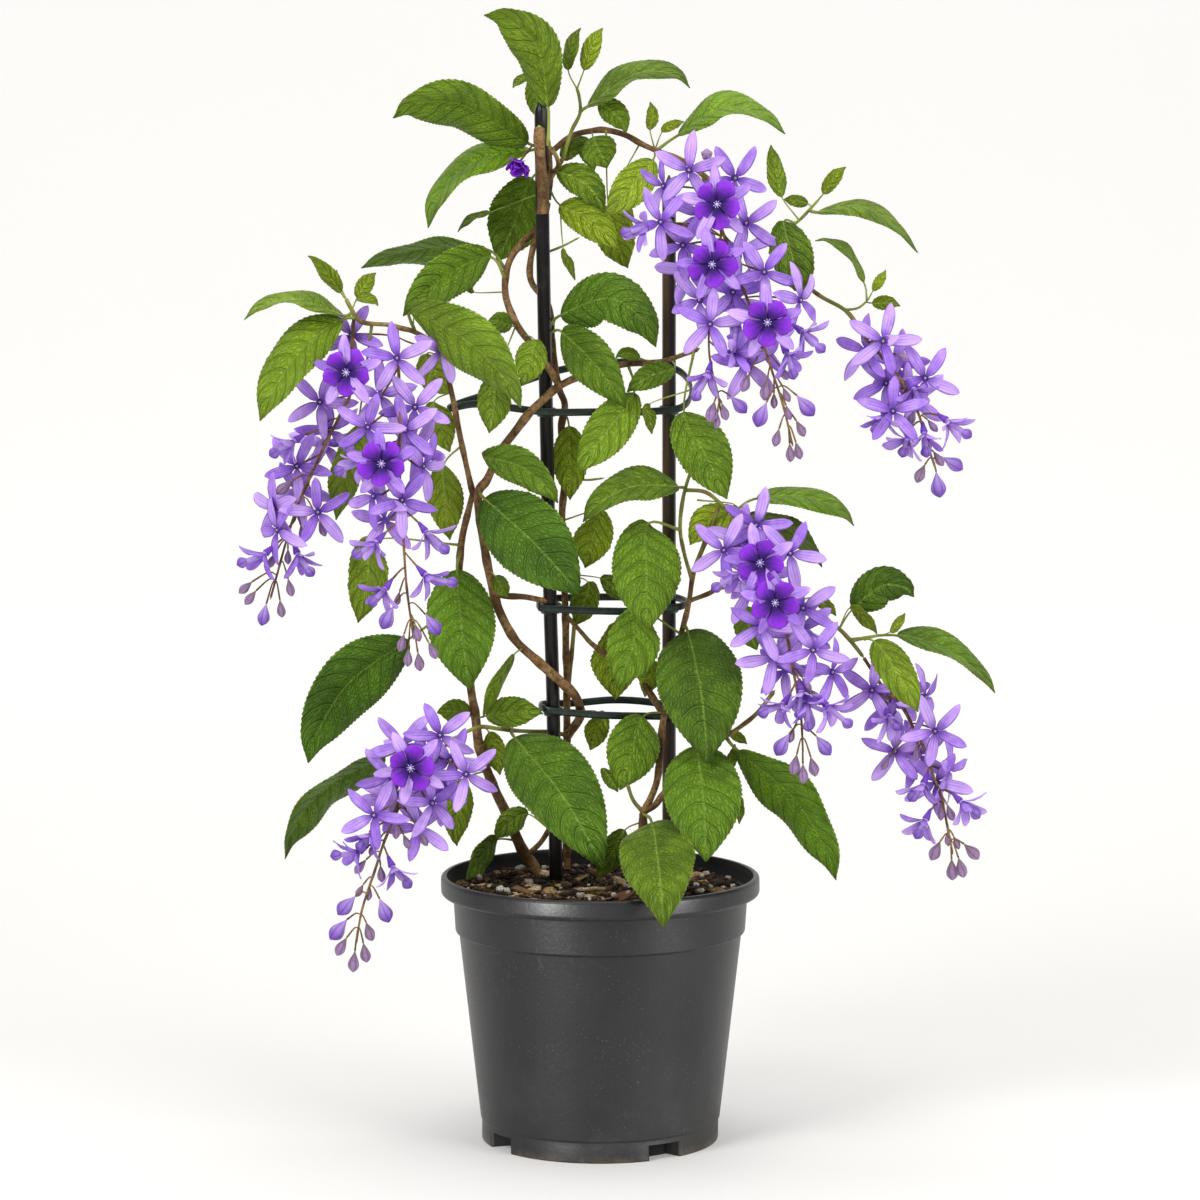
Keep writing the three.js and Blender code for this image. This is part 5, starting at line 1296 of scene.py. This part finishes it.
TURNED_SIDES = 10
PEDICEL_STEPS = 12
PEDICEL_SIDES = 6
BUD_ROWS = 16
BUD_SIDES = 20
STAR_EYE = [(1.9, -0.4), (2.1, 0.5), (1.7, 1.1), (1.2, 0.8), (1.0, 0.2)]
STAR_PIP = [(0.8, 0.0), (0.9, 0.8), (0.6, 1.3), (0.25, 1.6)]
CALYX_TUBE = [(0.6, -7.5), (1.1, -6.5), (1.7, -3.5), (2.3, -1.0), (2.4, 0.2)]
THROAT_RING = [(2.2, 0.6), (2.0, 1.3), (1.5, 1.5), (1.1, 1.0)]


def pedicel(surface, start, end, way, radius=0.5, arch=0.0):
    """A thin stalk from the axis that bows back, arches up and swells toward the flower. Its radius is in
    mm."""
    reach = np.linalg.norm(end - start)
    middle = (start + end) / 2 - way * 0.22 * reach + UP * arch * reach
    path = curve([start, middle, end], PEDICEL_STEPS)
    swell = np.linspace(1, 1.5, PEDICEL_STEPS)[:, None] * radius * MM
    surface.loft(rings_round(path, swell, PEDICEL_SIDES), young=0.35, tone=0.6)


def closed_bud(surface, start, end, radius, seed, violet=0.0):
    """A closed bud round the line from start to end. Its radius is sin(pi s^1.6)^0.85, widest beyond the
    middle, with five folds cos(5a + 2s) that deepen toward the tip. The folds are kept as a value, so that
    painted shade can darken them."""
    s = np.linspace(0.03, 0.985, BUD_ROWS)[:, None]
    way = unit(end - start)
    level, upward = axes(way)
    angle = np.linspace(0, 2 * np.pi, BUD_SIDES, endpoint=False)
    fold = np.cos(5 * angle + 2 * s + seed)
    girth = radius * np.sin(np.pi * s**1.6) ** 0.85 * (1 + (0.05 + 0.13 * s**2) * fold)
    ring = level * np.cos(angle)[:, None] + upward * np.sin(angle)[:, None]
    spine = start + (end - start) * s
    rings = spine[:, None] + ring * girth[..., None]
    surface.loft(rings, share=s, tone=chance(seed), eye=violet, across=fold)


# %% [markdown]
# ## Petal finishes
# The calyx is papery: lavender, darker toward the throat and the edges, and with fine veins along each
# lobe. The corolla is velvety violet with a nearly black star round a pale throat. Both read how far along
# and across a lobe each point is. The buds are mauve, with a brown-green foot, and the half open ones are
# violet.

# %% Calyx, corolla and bud finishes
def calyx_finish():
    """The value eye is 0 on the lobes, 0.6 on the dark ring in the middle of the star and 1 on the pale pip
    in it."""
    made, shader, start = new_finish("calyx_paper")
    share, across, tone, eye = (start.value(name) for name in ("share", "across", "tone", "eye"))
    veins = ((across * 13 + (share * 5).sine() * 0.5).sine()).step(0.3, 1.0) * share.step(1.0, 0.5)
    middle_vein = abs(across).step(0.16, 0.0) * share.step(0.95, 0.3)
    cloud = start.noise(130, 3)
    blotch = start.noise(600, 2, 0.7)
    fresh = (tone * 0.55 + cloud * 0.9 - 0.25).step(0.1, 0.8)
    colour = fresh.mix(paint("a274e4"), paint("d6b0fe"))
    colour = (abs(across).step(0.6, 1.0) * 0.3).mix(colour, paint("8a58d6"))
    colour = (share.step(0.42, 0.08) * 0.75).mix(colour, paint("5810a4"))
    colour = (veins * 0.2 + middle_vein * 0.2).mix(colour, paint("5e20b4"))
    colour = (blotch.step(0.55, 0.8) * 0.2).mix(colour, paint("dcc4fc"))
    colour = eye.step(0.2, 0.5).mix(colour, paint("4b2b84"))
    colour = eye.step(0.7, 0.95).mix(colour, paint("a9a0a8"))
    apply_finish(start, shader, colour, 0.5 + blotch * 0.15, blotch * 0.4 - veins * 0.5, 0.0004,
                 Specular_IOR_Level=0.3)
    return made


def corolla_finish():
    """The value eye is 0 on the lobes, 0.6 on the throat's ring and 1 on its pip and stamens."""
    made, shader, start = new_finish("corolla_velvet")
    share, across, eye, tone = (start.value(name) for name in ("share", "across", "eye", "tone"))
    veins = ((across * 11).sine()).step(0.4, 1.0) * share.step(1.0, 0.35)
    velvet = start.noise(900, 1, 0.7)
    colour = (share.step(0.35, 0.95) * 0.8 + velvet * 0.3 + tone * 0.1).mix(paint("42098c"), paint("8a2ad6"))
    colour = (abs(across).step(0.5, 1.0) * 0.45).mix(colour, paint("a656ea"))
    colour = (share.step(0.56, 0.24) * 0.85).mix(colour, paint("1f0454"))
    colour = (veins * 0.25).mix(colour, paint("32087c"))
    colour = eye.step(0.2, 0.5).mix(colour, paint("5a3aa0"))
    colour = eye.step(0.7, 0.95).mix(colour, paint("d9cdf2"))
    relief = velvet + veins * 0.5
    apply_finish(start, shader, colour, 0.55 + velvet * 0.1, relief, 0.0003, Specular_IOR_Level=0.3)
    return made


def bud_finish():
    """The value eye is 0 on a closed bud and near 1 on a half open one, and across is low in a bud's
    folds."""
    made, shader, start = new_finish("bud_skin")
    share, tone, eye, across = (start.value(name) for name in ("share", "tone", "eye", "across"))
    cloud = start.noise(420, 2, 0.6)
    colour = (share * 0.6 + cloud * 0.7 - 0.15).step(0.1, 0.8).mix(paint("75597c"), paint("a181b2"))
    colour = (share.step(0.45, 0.05) * 0.7 + tone * 0.2).mix(colour, paint("7f7048"))
    half_open = (share * 0.9 + cloud * 0.3 - 0.1).step(0.1, 1.0).mix(paint("b496dc"), paint("7446b8"))
    colour = eye.step(0.2, 0.8).mix(colour, half_open)
    # Painted shade in the mouth at the tip of a half open bud.
    colour = (share.step(0.93, 0.99) * eye).mix(colour, paint("2c0c36"))
    # Painted shade in the valleys of the folds.
    colour = (across.step(-0.3, -0.95) * 0.6).mix(colour, eye.mix(paint("4a3450"), paint("4c2a84")))
    apply_finish(start, shader, colour, 0.5 + cloud * 0.15, cloud, 0.0004, Specular_IOR_Level=0.35)
    return made


# %% [markdown]
# ## Hanging the flowers
# A flower's stalk leaves the axis a little above the nearest place, because it hangs. Stars near the axis
# face the viewer and those beside it turn outward. They lie in layers, so that their lobes overlap as on
# the plant. Each raceme becomes an axis with stalks, its stars and bells, its buds, and its open corollas.
# One lone flower, half folded and on a short stalk, opens beside the top of the left stake.

# %% Racemes in place
STAR_RADIUS = 23.5 * MM
BELL_RADIUS = 20 * MM
COROLLA_RADIUS = 16 * MM
STAR_LIFT = np.radians(4)
BELL_LIFT = np.radians(50)
COROLLA_LIFT = np.radians(20)
# Radii in mm: of the axis and the branch at both ends, of a usual bud, of the least violet one, of a folded
# corolla and of a bud's stalk.
AXIS_RADII = (1.1, 0.65)
BRANCH_RADII = (0.8, 0.55)
BUD_RADIUS = 2.7
HALF_OPEN = 3.7
FOLDED_RADIUS = 3.4
BUD_STALK = 0.42
AXIS_STEPS = 61
STAMENS = 8
# How far in front of its axis a star lies, in mm, from one star to the next, and how far a fresh one does.
LAYERS = (3, -4, 9, -9)
OPEN_LAYER = 16
# How many degrees a star turns outward for each mm beside its axis, and the most it turns.
OUTWARD = 0.35
MOST_OUTWARD = 8
LONE_FLOWER = (521, 160, 24)
LONE_FOOT = (545, 150, 32)


def facing_of(turn, down):
    """Toward the viewer, turned about the vertical by an angle and tipped down."""
    turn = np.radians(turn)
    return unit(np.array([np.sin(turn), -np.cos(turn), -down]))


def hanging_place(spines, place):
    """The place on the nearest axis that is nearest to a flower, four steps further up."""
    axis = min(spines, key=lambda spine: np.linalg.norm(spine - place, axis=1).min())
    nearest = np.linalg.norm(axis - place, axis=1).argmin()
    return axis[max(2, nearest - 4)]


def hang_star(stars, stalks, spines, centre, facing, roll, seed):
    """A calyx star with its tube and stalk. Its middle is a dark ring round a pale pip."""
    star(stars, centre, facing, roll, STAR_RADIUS, STAR_LIFT, STRAP, seed)
    turned(stars, centre, facing, STAR_EYE, eye=0.6)
    turned(stars, centre, facing, STAR_PIP, eye=1)
    turned(stars, centre, facing, CALYX_TUBE, share=0.1, tone=0.2)
    pedicel(stalks, hanging_place(spines, centre), centre - facing * 7 * MM, facing)


def open_corolla(corollas, centre, facing, roll, seed):
    """Five broad lobes in front of a star, with a pale throat and eight short stamens round it."""
    front = centre + facing * 1.5 * MM
    star(corollas, front, facing, roll, COROLLA_RADIUS, COROLLA_LIFT, BROAD, seed)
    turned(corollas, front, facing, THROAT_RING, folds=0.12, eye=0.6)
    turned(corollas, front + facing * 0.6 * MM, facing, STAR_PIP, eye=1)
    level, upward = axes(facing)
    for k in range(STAMENS):
        angle = np.radians(360 / STAMENS * k + roll)
        out = level * np.cos(angle) + upward * np.sin(angle)
        tip = front + out * (2.2 + 0.6 * chance(k + roll)) * MM + facing * 2.6 * MM
        stamen = curve([front, (front + tip) / 2 + facing * 0.6 * MM, tip], 6)
        corollas.loft(rings_round(stamen, 0.17 * MM, 4), eye=1)


def hang_bell(calyces, closed, stalks, spines, centre, tip, seed):
    """A half open calyx that faces down and outward, with a folded corolla on a short neck that leads to
    the tip."""
    start = hanging_place(spines, centre)
    way = unit(unit(centre - start) + unit(tip - centre) + facing_of(0, 0.7))
    star(calyces, centre, way, 72 * chance(seed), BELL_RADIUS, BELL_LIFT, STRAP, seed, open_out=0.25)
    turned(calyces, centre, way, CALYX_TUBE, share=0.1, tone=0.2)
    pedicel(stalks, start, centre - way * 6 * MM, way)
    fold = unit(tip - centre)
    neck = curve([centre, (centre + tip) / 2 + way * MM, tip], 10)
    closed.loft(rings_round(neck, 1.7 * MM, 10), eye=0.9)
    closed_bud(closed, tip - fold * 5 * MM, tip + fold * 5 * MM, FOLDED_RADIUS * MM, seed, violet=1.0)


def hang_bud(closed, stalks, spines, centre, radius, seed):
    """A bud on its stalk. The larger it is, the longer, and from a certain size on it turns violet."""
    start = hanging_place(spines, centre)
    way = unit(unit(centre - start) - 0.45 * UP)
    length = (2.6 * radius + 5.5) * MM
    foot = centre - way * length / 2
    closed_bud(closed, foot, foot + way * length, radius * MM, seed, violet=float(radius > HALF_OPEN))
    pedicel(stalks, start, foot + way * MM, way, BUD_STALK, arch=0.1)


def raceme(axis, stars, open, bells, buds, branch=()):
    """The four surfaces of one raceme: its stalks, its calyces, its buds and its corollas."""
    stalks, calyces, closed, corollas = Surface(), Surface(), Surface(), Surface()
    depth = axis[-1][2]
    spines = [curve(seen(path), AXIS_STEPS) for path in (axis, branch) if path]
    for path, radii in ((axis, AXIS_RADII), (branch, BRANCH_RADII)):
        if path:
            stem(stalks, *radii, path, young=0.3, seed=depth)
    flowers = [(flower, False) for flower in stars] + [(flower, True) for flower in open]
    for k, ((column, row, roll, *way), is_open) in enumerate(flowers):
        turn, back = (*way, None, None)[:2]
        if back is None:
            back = -OPEN_LAYER if is_open else -LAYERS[k % len(LAYERS)]
        centre = seen([column, row, depth + back])
        beside = (centre[0] - hanging_place(spines, centre)[0]) / MM
        outward = np.clip(beside * OUTWARD, -MOST_OUTWARD, MOST_OUTWARD)
        facing = facing_of(turn or outward, 0.05 if is_open else 0.12 * chance(column))
        hang_star(calyces, stalks, spines, centre, facing, roll, column + row)
        if is_open:
            open_corolla(corollas, centre, facing, roll + 36, column)
    for column, row, *folded in bells:
        centre = seen([column, row, depth - 2 - 4 * chance(row)])
        hang_bell(calyces, closed, stalks, spines, centre, seen([*folded, depth - 6]), column)
    for column, row, *size in buds:
        centre = seen([column, row, depth - 3 + 6 * chance(column)])
        hang_bud(closed, stalks, spines, centre, size[0] if size else BUD_RADIUS, column)
    return stalks, calyces, closed, corollas


def lone_flower():
    """Five lobes round five steeper ones, so that the corolla looks half folded, and a stalk that arches to
    it."""
    folded, stalk = Surface(), Surface()
    place, way = seen(LONE_FLOWER), facing_of(-25, 1.3)
    star(folded, place, way, 10, 13 * MM, np.radians(48), BROAD, 5)
    star(folded, place, way, 46, 12 * MM, np.radians(68), BROAD, 8)
    pedicel(stalk, seen(LONE_FOOT), place, way, arch=0.2)
    return folded, stalk


calyx_paper, corolla_velvet, bud_skin = calyx_finish(), corolla_finish(), bud_finish()
for name, parts in RACEMES.items():
    stalks, calyces, closed, corollas = raceme(**parts)
    piece(name + "_axis", stalks, vine_bark, "calyx", name)
    piece(name + "_calyces", calyces, calyx_paper, "calyx", name)
    piece(name + "_buds", closed, bud_skin, "calyx", name)
    if parts["open"]:
        own = [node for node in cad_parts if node.startswith(name.replace("raceme", "corolla") + "_")]
        piece(name + "_corollas", corollas, corolla_velvet, "corolla", *own)
lone, lone_stalk = lone_flower()
piece("lone_corolla", lone, corolla_velvet, "corolla")
piece("lone_stalk", lone_stalk, vine_bark, "leafy_stem")

# %% [markdown]
# ## The studio
# The plant stands on white paper under wide soft lamps, so its shadows are pale and spread to both sides.
# Two low strips add only gloss, and only to the pot. The floor rises behind it in one sweep, which hides
# any horizon. The camera stands where the picture's camera stood.

# %% Floor, light and camera
def sweep_surface(width=9.0, near=-6.0, far=2.6, bend=2.2, top=6.0):
    """Paper: flat from near to far, a quarter circle of radius bend, then straight up to the top."""
    angle = np.linspace(0, np.pi / 2, 30)
    y = np.r_[near, far + bend * np.sin(angle), far + bend]
    z = np.r_[0, bend * (1 - np.cos(angle)), top]
    x = np.outer([-1, 1], np.full(len(y), width))
    points = np.stack([x, np.tile(y, (2, 1)), np.tile(z, (2, 1))], -1)
    number = np.arange(2 * len(y)).reshape(2, -1)
    faces = np.stack([number[0, :-1], number[1, :-1], number[1, 1:], number[0, 1:]], -1)
    made = bpy.data.meshes.new("paper_sweep")
    made.from_pydata(points.reshape(-1, 3).tolist(), [], faces.tolist())
    made.shade_smooth()
    return made


def paper_finish():
    """Matt paper that is lit from behind, faintly near the plant and more where the lamps don't reach."""
    made, shader, start = new_finish("paper")
    behind = start.node("SeparateXYZ", {}, {0: start.place()}, output=1)
    glow = behind.step(0.0, 2.8).mix(paint("686869"), paint("b2b2b2"))
    start.tree.links.new(glow.socket, shader.inputs["Emission Color"])
    soft = start.noise(3, 1)
    tint = soft.mix(paint("dddbd8"), paint("dbd9d6"))
    apply_finish(start, shader, tint, soft * 0.1 + 0.8, soft, 0.0001, Emission_Strength=1.0)
    return made


floor = bpy.data.objects.new("paper_sweep", sweep_surface())
floor.data.materials.append(paper_finish())
bpy.context.collection.objects.link(floor)
floor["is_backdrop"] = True


def lamp(name, place, aim, size, watts, gloss_on=()):
    """A soft lamp that looks at a place. With gloss_on it lights only those pieces, and only by their
    gloss."""
    light = bpy.data.lights.new(name, "AREA")
    light.shape, light.energy = "RECTANGLE", watts
    light.size, light.size_y = size
    made = bpy.data.objects.new(name, light)
    bpy.context.collection.objects.link(made)
    made.location = place
    way = np.array(aim, float) - place
    tip = np.arccos(-way[2] / np.linalg.norm(way))
    made.rotation_euler = (tip, 0, np.arctan2(way[1], way[0]) - np.pi / 2)
    if gloss_on:
        made.visible_diffuse = False
        lit = bpy.data.collections.new(name + "_lights")
        made.light_linking.receiver_collection = lit
        for shiny in gloss_on:
            lit.objects.link(shiny)


lamp("key_lamp", (-1.7, -2.1, 2.5), (0, 0, 0.4), (1.1, 1.1), 58)
lamp("fill_lamp", (2.1, -1.9, 1.7), (0, 0, 0.4), (1.4, 1.4), 38)
lamp("top_lamp", (0.1, 0.1, 2.6), (0, 0.1, 0.4), (1.6, 1.6), 26)
lamp("left_strip", (-1.05, -1.5, 0.13), (0, 0, 0.1), (0.34, 0.22), 38, gloss_on=[pot])
lamp("right_strip", (1.5, -1.1, 0.13), (0, 0, 0.1), (0.34, 0.22), 26, gloss_on=[pot])
world = bpy.context.scene.world or bpy.data.worlds.new("studio")
bpy.context.scene.world = world
world.use_nodes = True
background = world.node_tree.nodes["Background"]
background.inputs["Color"].default_value = (1, 0.99, 0.975, 1)
background.inputs["Strength"].default_value = 0.44
bpy.context.scene.view_settings.view_transform = "Standard"

camera = bpy.data.cameras.new("camera")
camera.sensor_width = 36
camera.lens = FOCAL / PICTURE * camera.sensor_width
viewpoint = bpy.data.objects.new("camera", camera)
bpy.context.collection.objects.link(viewpoint)
viewpoint.location = (0, -CAMERA_DISTANCE, CAMERA_HEIGHT)
viewpoint.rotation_euler = (np.pi / 2 - CAMERA_PITCH, 0, 0)
bpy.context.scene.camera = viewpoint
print("camera", tuple(viewpoint.location), "lens", camera.lens)

# %% [markdown]
# ## Both sizes
# The box of the solids and the box of the finer pieces, printed together.

# %% Sizes
sizes = {"cad": cad_box, "visual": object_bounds()}
sizes = {name: [[float(number) for number in corner] for corner in box] for name, box in sizes.items()}
print(sizes)
